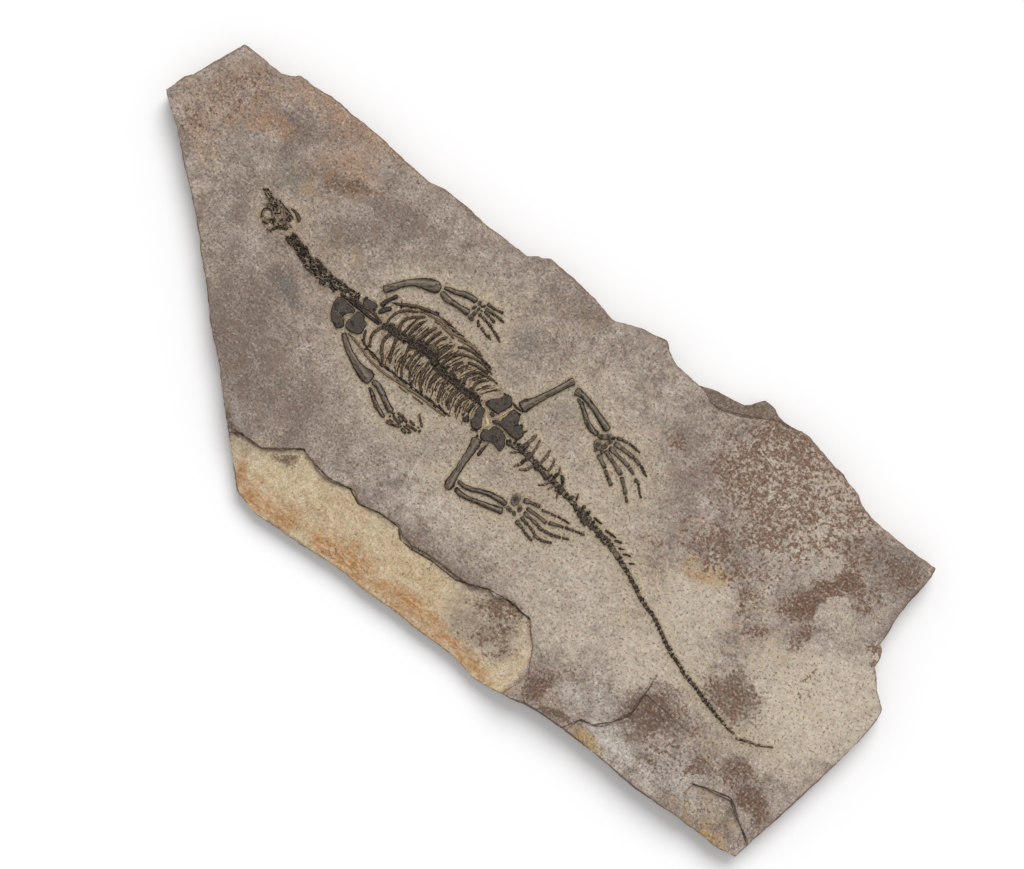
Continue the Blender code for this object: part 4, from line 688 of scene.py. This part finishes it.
# Lengths in millimetres. An area is given by its ends along and across the slab.
stone = {
    "cell": 6.6, "cellsAlong": 58, "cellsAcross": 25,   # first cuts; each cell is then divided in three
    "sideCuts": (4.4, 8.8, 13.2, 17.6),
    "riseHeight": 0.6, "riseReach": 5.0,    # how far the stone climbs to meet a bone's foot
    "calmShare": 0.85, "calmReach": 7.0,    # the face is smoother beside the bones
    "faceWave": 0.35, "waveSize": 16, "faceGrit": 0.2, "gritSize": 3.2,
    "sideLedge": 1.1, "ledgeSize": (34, 1.9),   # how far the broken side's layers stand in and out
    "sideChips": 0.7, "chipSize": (8, 4), "sideGrit": 0.3,
    "bends": ((34, 2.0, 13), (9, 5.0, 5)),  # size, level and strength of the noise that frays the blotches
    "bendSeed": 518,        # noise vectors change from run to run without a seed
    "yellowArea": ((-190, 134), (-999, -84)), "shelfArea": ((95, 200), (126, 999)),
    "haloReach": 11.0, "contactReach": 2.2,
}

# Blotches by place in the photograph: u, v, half sizes, turn in degrees, strength
blotches = {
    "rust": [
        (235, 95, 70, 40, 20, 0.6), (330, 92, 60, 34, -35, 0.8), (268, 124, 34, 14, -10, 0.7),
        (365, 120, 70, 30, -38, 0.75), (350, 172, 44, 30, -30, 0.7), (357, 190, 22, 12, -20, 0.75),
        (205, 130, 18, 54, 15, 0.55), (420, 160, 46, 18, -38, 0.65), (183, 90, 16, 20, 0, 0.5),
        (650, 540, 14, 14, 0, 0.4), (705, 572, 24, 16, -20, 0.35), (820, 460, 90, 60, -40, 0.35),
        (548, 700, 20, 12, -30, 0.5), (300, 360, 40, 60, 0, 0.25), (330, 190, 20, 20, 0, 0.4),
        (580, 312, 26, 12, 0, 0.35), (700, 530, 25, 20, 0, 0.4), (650, 450, 60, 40, 0, 0.25),
    ],
    "purple": [
        (240, 345, 62, 100, 5, 0.85), (290, 400, 50, 45, 0, 0.8), (298, 130, 52, 14, -12, 0.8),
        (290, 146, 18, 14, 0, 0.9), (283, 117, 14, 9, 0, 0.8), (345, 132, 26, 12, -25, 0.7),
        (325, 180, 18, 13, 0, 0.85), (245, 200, 14, 30, 5, 0.8), (395, 215, 55, 22, -20, 0.75),
        (350, 232, 36, 24, 0, 0.7), (283, 280, 30, 15, -45, 0.95), (258, 291, 14, 14, 0, 0.6),
        (424, 225, 26, 14, -25, 0.6), (585, 298, 48, 24, -20, 0.6), (606, 320, 16, 14, 0, 0.6),
        (571, 270, 16, 10, 0, 0.5), (685, 437, 26, 15, 0, 0.7), (890, 570, 46, 30, -25, 0.6),
        (870, 545, 30, 20, 0, 0.7), (432, 549, 46, 11, -33, 0.75), (470, 576, 34, 11, -28, 0.75),
        (490, 622, 46, 50, 10, 0.55), (650, 712, 44, 34, 0, 0.6), (310, 250, 60, 40, 0, 0.35),
        (220, 260, 26, 60, 10, 0.5), (700, 480, 34, 22, 0, 0.5), (340, 60, 40, 30, 0, 0.3),
    ],
    "blueGrey": [
        (290, 178, 30, 20, -30, 0.7), (285, 286, 22, 10, -45, 0.85), (523, 342, 24, 16, 10, 0.8),
        (570, 412, 34, 16, -10, 0.75), (613, 508, 10, 8, 0, 0.7), (345, 365, 22, 16, 0, 0.35),
        (400, 445, 60, 22, -15, 0.4), (250, 178, 22, 16, 0, 0.35), (540, 510, 18, 10, 0, 0.35),
        (890, 560, 30, 20, 0, 0.6), (440, 480, 40, 16, -20, 0.1), (620, 480, 40, 24, 0, 0.2),
        (330, 290, 26, 14, -30, 0.3), (655, 500, 30, 24, 0, 0.3),
    ],
    "spots": [
        (780, 495, 94, 68, -30, 0.8), (745, 470, 44, 40, 0, 0.85), (770, 530, 40, 30, 0, 0.95),
        (800, 448, 74, 28, -22, 0.95), (735, 432, 40, 20, 0, 0.6), (850, 500, 46, 46, -30, 0.75),
        (715, 545, 26, 34, 0, 0.8), (750, 575, 34, 24, 0, 0.7), (804, 604, 26, 13, 20, 1.3),
        (838, 586, 30, 12, 20, 1.3), (798, 636, 22, 9, 42, 1), (862, 595, 26, 18, 0, 0.85),
        (760, 633, 14, 11, 0, 0.95), (868, 552, 44, 28, -25, 0.75), (905, 575, 30, 20, -30, 0.75),
        (752, 600, 20, 26, 0, 0.75), (820, 545, 40, 22, 0, 0.6), (882, 660, 7, 28, 15, 0.85),
        (892, 692, 5, 18, -10, 0.6), (235, 95, 50, 24, 15, 0.55), (195, 115, 22, 24, 0, 0.5),
        (734, 692, 34, 30, -20, 0.72), (745, 800, 15, 30, 15, 0.8), (735, 775, 26, 13, -30, 0.85),
        (700, 770, 16, 16, 0, 0.8), (660, 712, 36, 26, 0, 0.6), (500, 612, 34, 16, -25, 0.85),
        (540, 688, 26, 12, 40, 0.85), (545, 672, 12, 5, 0, 0.9), (566, 672, 9, 4, 0, 0.9),
        (665, 745, 26, 34, 0, 0.55), (810, 690, 14, 20, 0, 0.45), (320, 546, 24, 12, -35, 0.35),
        (680, 440, 18, 10, 0, 0.6), (555, 720, 18, 8, -30, 0.55), (650, 540, 12, 12, 0, 0.6),
        (492, 640, 30, 30, 0, 0.6), (430, 555, 40, 12, -35, 0.45), (478, 583, 26, 9, -28, 0.6),
    ],
    "cream": [
        (860, 690, 60, 50, -30, 0.9), (810, 500, 110, 80, -30, 0.75), (790, 745, 60, 50, -20, 0.8),
        (840, 620, 50, 28, -30, 0.6), (575, 600, 95, 80, -35, 0.72), (810, 705, 90, 66, -35, 1),
        (650, 655, 70, 50, -30, 0.85), (690, 610, 56, 56, 0, 0.9), (710, 680, 60, 44, -40, 0.6),
        (480, 520, 90, 44, -25, 0.65), (770, 590, 22, 50, 0, 0.5), (450, 500, 80, 40, -30, 0.6),
        (240, 200, 60, 60, 0, 0.15), (500, 310, 40, 60, -45, 0.45), (430, 290, 60, 20, -20, 0.45),
        (400, 420, 60, 40, -40, 0.45), (600, 500, 90, 60, -30, 0.6), (640, 400, 90, 60, -40, 0.45),
        (290, 240, 40, 40, -45, 0.25), (205, 170, 22, 40, 10, 0.4), (700, 630, 60, 40, -40, 0.35),
        (540, 420, 60, 40, -40, 0.3), (200, 100, 20, 40, 0, 0.3),
    ],
    "paleGrey": [
        (612, 745, 36, 28, -30, 0.85), (664, 772, 30, 24, 0, 0.75), (232, 400, 9, 30, 10, 0.8),
        (275, 458, 8, 8, 0, 0.7), (690, 790, 14, 30, 10, 0.7), (500, 710, 30, 10, -20, 0.3),
        (320, 370, 70, 60, 0, 0.25), (440, 300, 200, 60, -38, 0.2), (640, 650, 50, 30, 0, 0.3),
        (590, 700, 50, 22, -10, 0.5), (420, 500, 60, 20, -25, 0.4),
    ],
    "ochre": [
        (705, 572, 26, 18, -25, 0.6), (585, 742, 26, 10, -32, 0.95), (430, 618, 34, 16, -30, 0.7),
        (545, 330, 30, 60, -40, 0.2), (298, 205, 40, 50, -45, 0.35), (330, 262, 26, 50, -45, 0.35),
        (760, 640, 40, 60, 0, 0.3), (700, 820, 44, 34, -35, 0.45), (710, 838, 26, 8, -35, 0.9),
        (640, 570, 50, 24, -30, 0.35), (700, 745, 60, 20, -30, 0.3), (480, 672, 44, 14, -28, 0.8),
        (265, 445, 22, 10, -20, 0.5), (420, 640, 40, 10, -35, 0.6), (810, 690, 16, 50, 15, 0.35),
        (640, 620, 36, 60, -30, 0.25), (600, 480, 60, 40, 0, 0.2),
    ],
    "orange": [
        (240, 475, 7, 22, 8, 0.8), (262, 502, 28, 12, -38, 0.85), (288, 520, 20, 10, -35, 0.85),
        (322, 545, 28, 12, -35, 0.9), (350, 566, 30, 14, -32, 0.9), (342, 545, 30, 12, -30, 0.6),
        (382, 585, 28, 12, -33, 0.8), (405, 606, 30, 12, -35, 0.85), (430, 622, 24, 12, -35, 0.7),
        (446, 644, 24, 9, -35, 0.85), (330, 512, 54, 24, -33, 0.16), (400, 570, 60, 28, -33, 0.22),
        (350, 588, 40, 7, -38, 0.9), (410, 632, 50, 7, -38, 0.9), (465, 668, 24, 6, -40, 0.8),
        (705, 575, 12, 8, -30, 0.35), (250, 495, 12, 16, -20, 0.6),
    ],
    "stain": [
        (352, 186, 28, 15, -10, 0.72), (734, 696, 34, 30, -20, 0.72), (726, 684, 24, 16, -20, 0.6),
        (652, 712, 40, 28, -20, 0.78), (640, 700, 20, 20, 0, 0.7), (668, 690, 24, 12, -30, 0.6),
        (700, 768, 18, 12, -40, 0.6), (745, 800, 14, 28, 18, 0.85), (492, 602, 34, 10, -25, 0.5),
        (508, 630, 22, 20, 0, 0.5), (538, 690, 20, 14, 45, 0.85), (553, 716, 22, 7, -32, 0.85),
        (286, 462, 16, 10, 0, 0.75), (222, 418, 7, 22, 5, 0.8), (228, 432, 12, 8, -40, 0.8),
        (740, 770, 24, 10, -35, 0.6), (665, 770, 20, 24, 0, 0.5), (806, 606, 20, 10, 15, 0.9),
        (840, 586, 24, 9, 18, 0.8), (265, 392, 30, 20, 0, 0.25), (895, 585, 30, 20, 0, 0.4),
        (757, 632, 12, 9, 0, 0.35),
    ],
    "strands": [(420, 345, 52, 44, -35, 1.0), (462, 385, 40, 36, -40, 1.0), (380, 320, 16, 24, -10, 0.5)],
}


# Thin dark seams in the photograph's pixels, painted shade in place of the shadow in a step or crack: along
# the yellow step, under the shelf, and a crack at the foot
shadedSeams = [
    [(235, 430), (262, 448), (303, 449), (312, 461), (327, 477), (350, 489), (358, 504), (380, 513),
     (398, 527), (400, 540), (412, 550), (430, 560), (455, 580), (490, 590), (507, 600), (529, 619)],
    [(701, 384), (711, 402), (724, 411), (751, 416), (781, 422), (808, 434)],
    [(693, 784), (712, 790), (731, 798), (738, 818), (746, 843)],
    [(563, 727), (580, 720), (593, 725), (612, 722), (630, 716), (641, 700), (652, 684)],
]


def makeStone():
    piece = copyNode("matrix_slab", "stone_slab")
    bpy.ops.object.mode_set(mode="EDIT")
    bpy.ops.mesh.select_all(action="SELECT")
    bpy.ops.mesh.dissolve_limited(angle_limit=math.radians(0.5))
    # The underside stays out of the cuts
    bpy.ops.mesh.select_mode(type="FACE")
    bpy.ops.mesh.select_all(action="DESELECT")
    bm = bmesh.from_edit_mesh(piece.data)
    for face in bm.faces:
        face.select_set(face.normal.z < -0.99)
    bmesh.update_edit_mesh(piece.data)
    bpy.ops.mesh.hide(unselected=False)
    step = stone["cell"]
    cuts = [((x * step * mm, 0, 0), (1, 0, 0))
            for x in range(-stone["cellsAlong"], stone["cellsAlong"] + 1)]
    cuts += [((0, y * step * mm, 0), (0, 1, 0))
             for y in range(-stone["cellsAcross"], stone["cellsAcross"] + 1)]
    cuts += [((0, 0, z * mm), (0, 0, 1)) for z in stone["sideCuts"]]
    for place, facing in cuts:
        bpy.ops.mesh.select_all(action="SELECT")
        bpy.ops.mesh.bisect(plane_co=place, plane_no=facing)
    bpy.ops.mesh.select_all(action="SELECT")
    bpy.ops.mesh.remove_doubles(threshold=0.0002)
    bpy.ops.mesh.select_mode(type="FACE")
    bpy.ops.mesh.select_all(action="DESELECT")
    bpy.ops.mesh.select_face_by_sides(number=4, type="GREATER")
    bpy.ops.mesh.quads_convert_to_tris(quad_method="BEAUTY", ngon_method="BEAUTY")
    bpy.ops.mesh.select_all(action="SELECT")
    bpy.ops.mesh.subdivide(number_cuts=2)
    bpy.ops.mesh.reveal(select=True)
    bpy.ops.mesh.remove_doubles(threshold=0.0001)
    bpy.ops.object.mode_set(mode="OBJECT")
    return piece


def shapeStone(piece):
    places = readArray(piece, "co", 3) / mm
    facing = readArray(piece, "normal", 3)
    # Nearest bone, seen from above
    feet = []
    for bone in bonePieces:
        spots = readArray(bone, "co", 3)[::4]
        feet.extend(map(tuple, spots))
    tree = kdtree.KDTree(len(feet))
    for n, spot in enumerate(feet):
        tree.insert((spot[0], spot[1], 0.0), n)
    tree.balance()
    away = np.array([tree.find((x * mm, y * mm, 0.0))[2] / mm if z > 15 else 99.0 for x, y, z in places])
    rise = eased(1 - away / stone["riseReach"]) * stone["riseHeight"]
    calm = 1 - stone["calmShare"] * eased(1 - away / stone["calmReach"])
    isTop = eased((facing[:, 2] - 0.55) / 0.4)
    isSide = eased((0.75 - np.abs(facing[:, 2])) / 0.3) * np.clip(places[:, 2] / 2.0, 0, 1)
    long, fine, (wide, thin), (chip, chipHeight) = [
        stone[key] for key in ("waveSize", "gritSize", "ledgeSize", "chipSize")]
    wave = np.array([noise.fractal(Vector((x / long, y / long, 0.4)), 0.9, 2.1, 4) for x, y, z in places])
    grit = np.array([noise.noise(Vector((x / fine, y / fine, z / fine))) for x, y, z in places])
    ledge = np.array([noise.noise(Vector((x / wide, y / wide, z / thin))) for x, y, z in places])
    chips = np.array([noise.noise(Vector((x / chip, y / chip, z / chipHeight + 7))) for x, y, z in places])
    depth = slabTop - places[:, 2]
    moved = places.copy()
    moved[:, 2] += isTop * (rise + calm * (wave * stone["faceWave"] + grit * stone["faceGrit"]))
    out = isSide * (ledge * stone["sideLedge"] + chips * stone["sideChips"] + grit * stone["sideGrit"])
    moved[:, 0] += facing[:, 0] * out
    moved[:, 1] += facing[:, 1] * out
    # The rim of the face is chipped
    rim = eased(1 - np.abs(facing[:, 2] - 0.6) / 0.35) * (places[:, 2] > 8)
    moved[:, 2] -= rim * (0.25 + 0.8 * np.clip(chips, 0, 1))
    piece.data.vertices.foreach_set("co", (moved * mm).astype(np.float32).ravel())
    piece.data.update()
    return places, facing, away, depth


def paintStone(piece, places, facing, away, depth):
    u, v = photoPlace(places[:, 0], places[:, 1])
    noise.seed_set(stone["bendSeed"])
    bend = np.array([sum((noise.noise_vector(Vector((a / size, b / size, level))) * strength
                          for size, level, strength in stone["bends"]), Vector()) for a, b in zip(u, v)])
    uu, vv = u + bend[:, 0], v + bend[:, 1]
    masks = {}
    for name, spots in blotches.items():
        total = np.zeros(len(u))
        for cu, cv, ru, rv, turn, strength in spots:
            c, s = math.cos(math.radians(turn)), math.sin(math.radians(turn))
            a, b = uu - cu, -(vv - cv)
            far = np.hypot((a * c + b * s) / ru, (-a * s + b * c) / rv)
            total = np.maximum(total, strength * eased((1.45 - far) / 1.1))
        masks[name] = total
    masks["yellow"] = eased((depth - 1.2) / 1.2) * inArea(places, stone["yellowArea"]) * (facing[:, 2] > 0.4)
    # Steep faces, painted darker in thin beds: partly the rock's colour, partly painted shade
    masks["broken"] = eased((0.93 - facing[:, 2]) / 0.4)
    onShelf = inArea(places, stone["shelfArea"]) & (depth > 1.4) & (facing[:, 2] > 0.4)
    masks["shelf"] = onShelf.astype(float)
    # The pale halo fades out towards the head
    masks["halo"] = np.exp(-away / stone["haloReach"]) * (0.2 + 0.8 * eased((places[:, 0] + 178) / 40))
    masks["contact"] = eased(1 - away / stone["contactReach"])
    # Off each dark seam of painted shade, in the photograph's pixels
    masks["seam"] = np.full(len(u), 99.0)
    for line in shadedSeams:
        off = lineDistance(u, v, line)
        masks["seam"] = np.where(np.abs(off) < np.abs(masks["seam"]), off, masks["seam"])
    for name, values in masks.items():
        addLayer(piece, name, values)


# Fine mudstone, split along its bedding: matt, gritty, stained in blotches by iron and manganese.
# Layers of colour go on in this order: attribute, two tones, how much the noise breaks up the edges.
stoneLayers = [
    ("cream", "#b3a492", "#d7cab8", 2.6), ("paleGrey", "#aca59d", "#cdc6be", 3.4),
    ("purple", "#5f514a", "#84746a", 2.8), ("rust", "#846857", "#ba987a", 3.0),
    ("blueGrey", "#5b5754", "#7f7a75", 2.0), ("ochre", "#957650", "#b59a6c", 3.4),
]
# The noise in the stone: size in millimetres, detail, roughness
stoneNoise = {
    "cloud": (17, 5, 0.62), "mottle": (6, 7, 0.72), "blobs": (3.6, 6, 0.68), "grain": (1.6, 2, 0.7),
    "specks": (2.2, 3, 0.6), "patches": (9, 6, 0.68), "worms": (4.4, 2, 0.5),
}


def stoneMaterial():
    made, shader, add = startMaterial("split mudstone")
    coords = add("TexCoord", {}, "Object")
    cloud, mottle, blobs, grain, specks, patches, worms = [
        add("TexNoise", {"Vector": coords, "Scale": perMm(size), "Detail": detail, "Roughness": rough})
        for size, detail, rough in stoneNoise.values()]
    masks = {name: add("Attribute", {"attribute_name": name}, "Fac")
             for name in [*blotches, "yellow", "broken", "halo", "contact", "shelf", "seam"]}
    uneven = add("Mix", {0: 0.5, 2: cloud, 3: mottle})
    tone = add("ValToRGB", {"Fac": uneven, "ramp": [(0.34, "#70635a"), (0.5, "#95877c"), (0.66, "#b4a79c")]})
    # Coats over this tone, the first one lowest: how much of each shows, and its colour
    coats = []
    torn = add("Mix", {0: 0.45, 2: patches, 3: mottle})
    for name, dark, light, gain in stoneLayers:
        let = add("Math", {"operation": "MULTIPLY_ADD", 0: torn, 1: gain, 2: -0.5 * gain - 0.3})
        raised = add("Math", {"operation": "MULTIPLY_ADD", "use_clamp": True, 0: masks[name], 1: 1.2, 2: let})
        within = add("Math", {"operation": "MULTIPLY", "use_clamp": True, 0: masks[name], 1: 5})
        share = add("Math", {"operation": "MULTIPLY", 0: raised, 1: within})
        coats.append((share, add("Mix", {"data_type": "RGBA", 0: mottle, 6: dark, 7: light}, 2)))

    # The yellow layer under the broken edge, with its rusty band
    yellow = add("ValToRGB", {"Fac": uneven,
                              "ramp": [(0.34, "#ab977a"), (0.5, "#c4b191"), (0.66, "#d8cbb0")]})
    yellowShare = add("Math", {"operation": "MULTIPLY_ADD", "use_clamp": True, 0: masks["purple"], 1: -1.3,
                               2: masks["yellow"]})
    streaked = add("Mapping", {"Vector": coords, "Scale": (0.3, 1, 1)})
    streaks = add("TexNoise", {"Vector": streaked, "Scale": perMm(3.4), "Detail": 5, "Roughness": 0.7})
    rustLet = add("MapRange", {"Value": streaks, "From Min": 0.42, "From Max": 0.55, "To Min": 0.36})
    rustShare = add("Math", {"operation": "MULTIPLY", "use_clamp": True, 0: rustLet, 1: masks["orange"]})
    rustTone = add("Mix", {"data_type": "RGBA", 0: mottle, 6: "#8f5a30", 7: "#c08b50"}, 2)
    # Pale prepared stone round the skeleton
    haloShare = add("Math", {"operation": "MULTIPLY", 0: masks["halo"], 1: 0.72})
    haloTone = add("Mix", {"data_type": "RGBA", 0: mottle, 6: "#a29078", 7: "#c9bca5"}, 2)
    coats += [(yellowShare, yellow), (rustShare, rustTone), (haloShare, haloTone)]

    # Brown threads of bone left between the ribs, and the tan rim where stone meets bone
    across = add("Mapping", {"Vector": coords, "Scale": (1, 0.14, 1), "Rotation": (0, 0, 0.12)})
    hairs = add("TexNoise", {"Vector": across, "Scale": perMm(1.9), "Detail": 3, "Roughness": 0.6})
    hairLet = add("MapRange", {"Value": hairs, "From Min": 0.5, "From Max": 0.58, "To Max": 0.75})
    hairShare = add("Math", {"operation": "MULTIPLY", 0: hairLet, 1: masks["strands"]})
    rimShare = add("Math", {"operation": "MULTIPLY", 0: masks["contact"], 1: 0.5})
    # Manganese stains, ragged at their edges
    gritty = add("Mix", {0: 0.5, 2: mottle, 3: specks})
    stainReach = add("Math", {"operation": "MULTIPLY_ADD", 0: masks["stain"], 1: 0.5, 2: gritty})
    stainShare = add("MapRange", {"Value": stainReach, "From Min": 0.68, "From Max": 0.9, "To Max": 0.85})
    coats += [(hairShare, "#65533f"), (rimShare, "#866d4e"), (stainShare, "#604e42")]

    # Brown crusts that break into blobs, with small pale rings left open in them
    broken = add("Mix", {0: 0.4, 2: blobs, 3: patches})
    reach = add("Math", {"operation": "MULTIPLY_ADD", 0: masks["spots"], 1: 0.17, 2: broken})
    within = add("Math", {"operation": "MULTIPLY", "use_clamp": True, 0: masks["spots"], 1: 4})
    spotEdge = add("MapRange", {"Value": reach, "From Min": 0.6, "From Max": 0.64})
    spotShare = add("Math", {"operation": "MULTIPLY", 0: spotEdge, 1: within})
    rings = add("TexVoronoi", {"Vector": coords, "Scale": perMm(2.8)})
    frayed = add("Math", {"operation": "MULTIPLY_ADD", 0: blobs, 1: 0.9, 2: rings})
    closed = add("MapRange", {"Value": frayed, "From Min": 0.6, "From Max": 0.78, "To Min": 0.15,
                              "To Max": 0.9})
    crumbs = add("MapRange", {"Value": specks, "From Min": 0.36, "From Max": 0.64})
    crust = add("Mix", {"data_type": "RGBA", 0: crumbs, 6: "#8e7160", 7: "#4d3a30"}, 2)
    crustShare = add("Math", {"operation": "MULTIPLY", 0: spotShare, 1: closed})
    # Worm-like brown marks on the pale stone, thin dark seams of painted shade along steps and cracks, and
    # the shelf's shade
    ridge = add("Math", {"operation": "SUBTRACT", 0: worms, 1: 0.5})
    nearRidge = add("Math", {"operation": "ABSOLUTE", 0: ridge})
    wormLine = add("MapRange", {"Value": nearRidge, "From Min": 0.03, "From Max": 0.012, "To Max": 0.55})
    wormLet = add("Math", {"operation": "MULTIPLY_ADD", "use_clamp": True, 0: patches, 1: 6, 2: -2.9})
    wormShare = add("Math", {"operation": "MULTIPLY", 0: wormLine, 1: wormLet})
    offLine = add("Math", {"operation": "ABSOLUTE", 0: masks["seam"]})
    ragged = add("Math", {"operation": "MULTIPLY_ADD", 0: mottle, 1: 3.2, 2: offLine})
    seamShadeShare = add("MapRange", {"Value": ragged, "From Min": 2.7, "From Max": 2.1, "To Max": 0.9})
    shelfShare = add("Math", {"operation": "MULTIPLY", 0: masks["shelf"], 1: 0.7})
    coats += [(crustShare, crust), (wormShare, "#7a604a"), (seamShadeShare, "#3b2d23"), (shelfShare, "#6f6053")]

    # The broken side and the steps: in thin beds, and darker, partly the rock's own colour and partly painted
    # shade on the steep faces
    layered = add("Mapping", {"Vector": coords, "Scale": (0.04, 0.04, 1)})
    beds = add("TexNoise", {"Vector": layered, "Scale": perMm(1.6), "Detail": 3, "Roughness": 0.6})
    bedTone = add("ValToRGB", {"Fac": beds, "ramp": [(0.3, "#4a3a30"), (0.5, "#735f50"), (0.7, "#988471")]})
    sideShadeShare = add("Math", {"operation": "MULTIPLY", 0: masks["broken"], 1: 0.85})
    # Dark specks, fewer on the yellow layer, and pale flecks
    dark = add("MapRange", {"Value": specks, "From Min": 0.575, "From Max": 0.63, "To Max": 0.72})
    fewer = add("Math", {"operation": "MULTIPLY_ADD", 0: masks["yellow"], 1: -0.4, 2: 1})
    darkSpecks = add("Math", {"operation": "MULTIPLY", 0: dark, 1: fewer})
    paleFlecks = add("MapRange", {"Value": specks, "From Min": 0.41, "From Max": 0.33, "To Max": 0.34})
    coats += [(sideShadeShare, bedTone), (darkSpecks, "#65503f"), (paleFlecks, "#d3cabc")]
    for share, colour in coats:
        tone = add("Mix", {"data_type": "RGBA", 0: share, 6: tone, 7: colour}, 2)

    # A fine grain over all of it, calmer on the cream and yellow areas and in patches
    shade = add("MapRange", {"Value": grain, "From Min": 0.3, "From Max": 0.7, "To Min": 0.54,
                             "To Max": 1.48})
    even = add("Math", {"operation": "MULTIPLY", 0: masks["yellow"], 1: 0.55})
    evener = add("Math", {"operation": "MAXIMUM", 0: masks["cream"], 1: even})
    calm = add("MapRange", {"Value": patches, "From Min": 0.45, "From Max": 0.62})
    calmest = add("Math", {"operation": "MAXIMUM", 0: evener, 1: calm})
    smoother = add("Math", {"operation": "MULTIPLY", 0: calmest, 1: 0.75})
    shade = add("Mix", {0: smoother, 2: shade, 3: 1})
    tone = add("VectorMath", {"operation": "SCALE", 0: tone, 3: shade})
    # Each grain leans a little warm or cool
    tints = add("TexNoise", {"Vector": coords, "Scale": perMm(1.9), "Detail": 2}, "Color")
    lean = add("VectorMath", {"operation": "MULTIPLY_ADD", 0: tints, 1: (0.4, 0.32, 0.46),
                              2: (0.8, 0.84, 0.77)})
    tone = add("VectorMath", {"operation": "MULTIPLY", 0: tone, 1: lean})
    relief = add("Math", {"operation": "MULTIPLY_ADD", 0: mottle, 1: 0.5, 2: grain})
    setNode(shader, {"Base Color": tone, "Roughness": 0.9, "Specular IOR Level": 0.3,
                     "Normal": add("Bump", {"Strength": 0.6, "Distance": 0.45 * mm, "Height": relief})})
    return made


stonePiece = makeStone()
print("stone cut:", len(stonePiece.data.polygons))
stonePlaces, stoneFacing, boneAway, stoneDepth = shapeStone(stonePiece)
paintStone(stonePiece, stonePlaces, stoneFacing, boneAway, stoneDepth)
stonePiece.data.materials.append(stoneMaterial())
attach(stonePiece, "root")
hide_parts("matrix_slab")
print("stone shaped and painted")


# Floor, light and camera

# Soft light from the top of the picture, on white paper. Lengths in metres, angles in degrees.
lighting = {"ambient": 0.56, "keyFrom": (-0.27, 0.97, 1.08), "keySpread": 38, "keyStrength": 2.1}
view = {"place": (0.0082, 0.0151, 2.2976), "turn": 37, "lens": 100, "sensor": 36, "near": 0.01}
floorSize, floorDrop = 8, 0.0004


def makeStage():
    deselectAll()
    bpy.ops.mesh.primitive_plane_add(size=floorSize, location=(0, 0, -floorDrop))
    floor = bpy.context.object
    floor.name = "studio_floor"
    paper, shader = startMaterial("white paper")[:2]
    setNode(shader, {"Base Color": (0.97, 0.97, 0.97, 1), "Roughness": 0.9})
    floor.data.materials.append(paper)
    world = bpy.data.worlds.new("studio")
    world.use_nodes = True
    setNode(world.node_tree.nodes["Background"], {"Color": (1, 1, 1, 1), "Strength": lighting["ambient"]})
    bpy.context.scene.world = world
    bpy.ops.object.light_add(type="SUN", location=lighting["keyFrom"])
    key = bpy.context.object
    key.name = "key_light"
    key.data.angle = math.radians(lighting["keySpread"])
    key.data.energy = lighting["keyStrength"]
    key.rotation_euler = Vector(lighting["keyFrom"]).to_track_quat("Z", "Y").to_euler()
    bpy.ops.object.camera_add(location=view["place"], rotation=(0, 0, math.radians(view["turn"])))
    camera = bpy.context.object
    camera.data.lens = view["lens"]
    camera.data.sensor_width = view["sensor"]
    camera.data.clip_start = view["near"]
    bpy.context.scene.camera = camera
    bpy.context.scene.view_settings.view_transform = "Standard"


makeStage()
print("stage set")
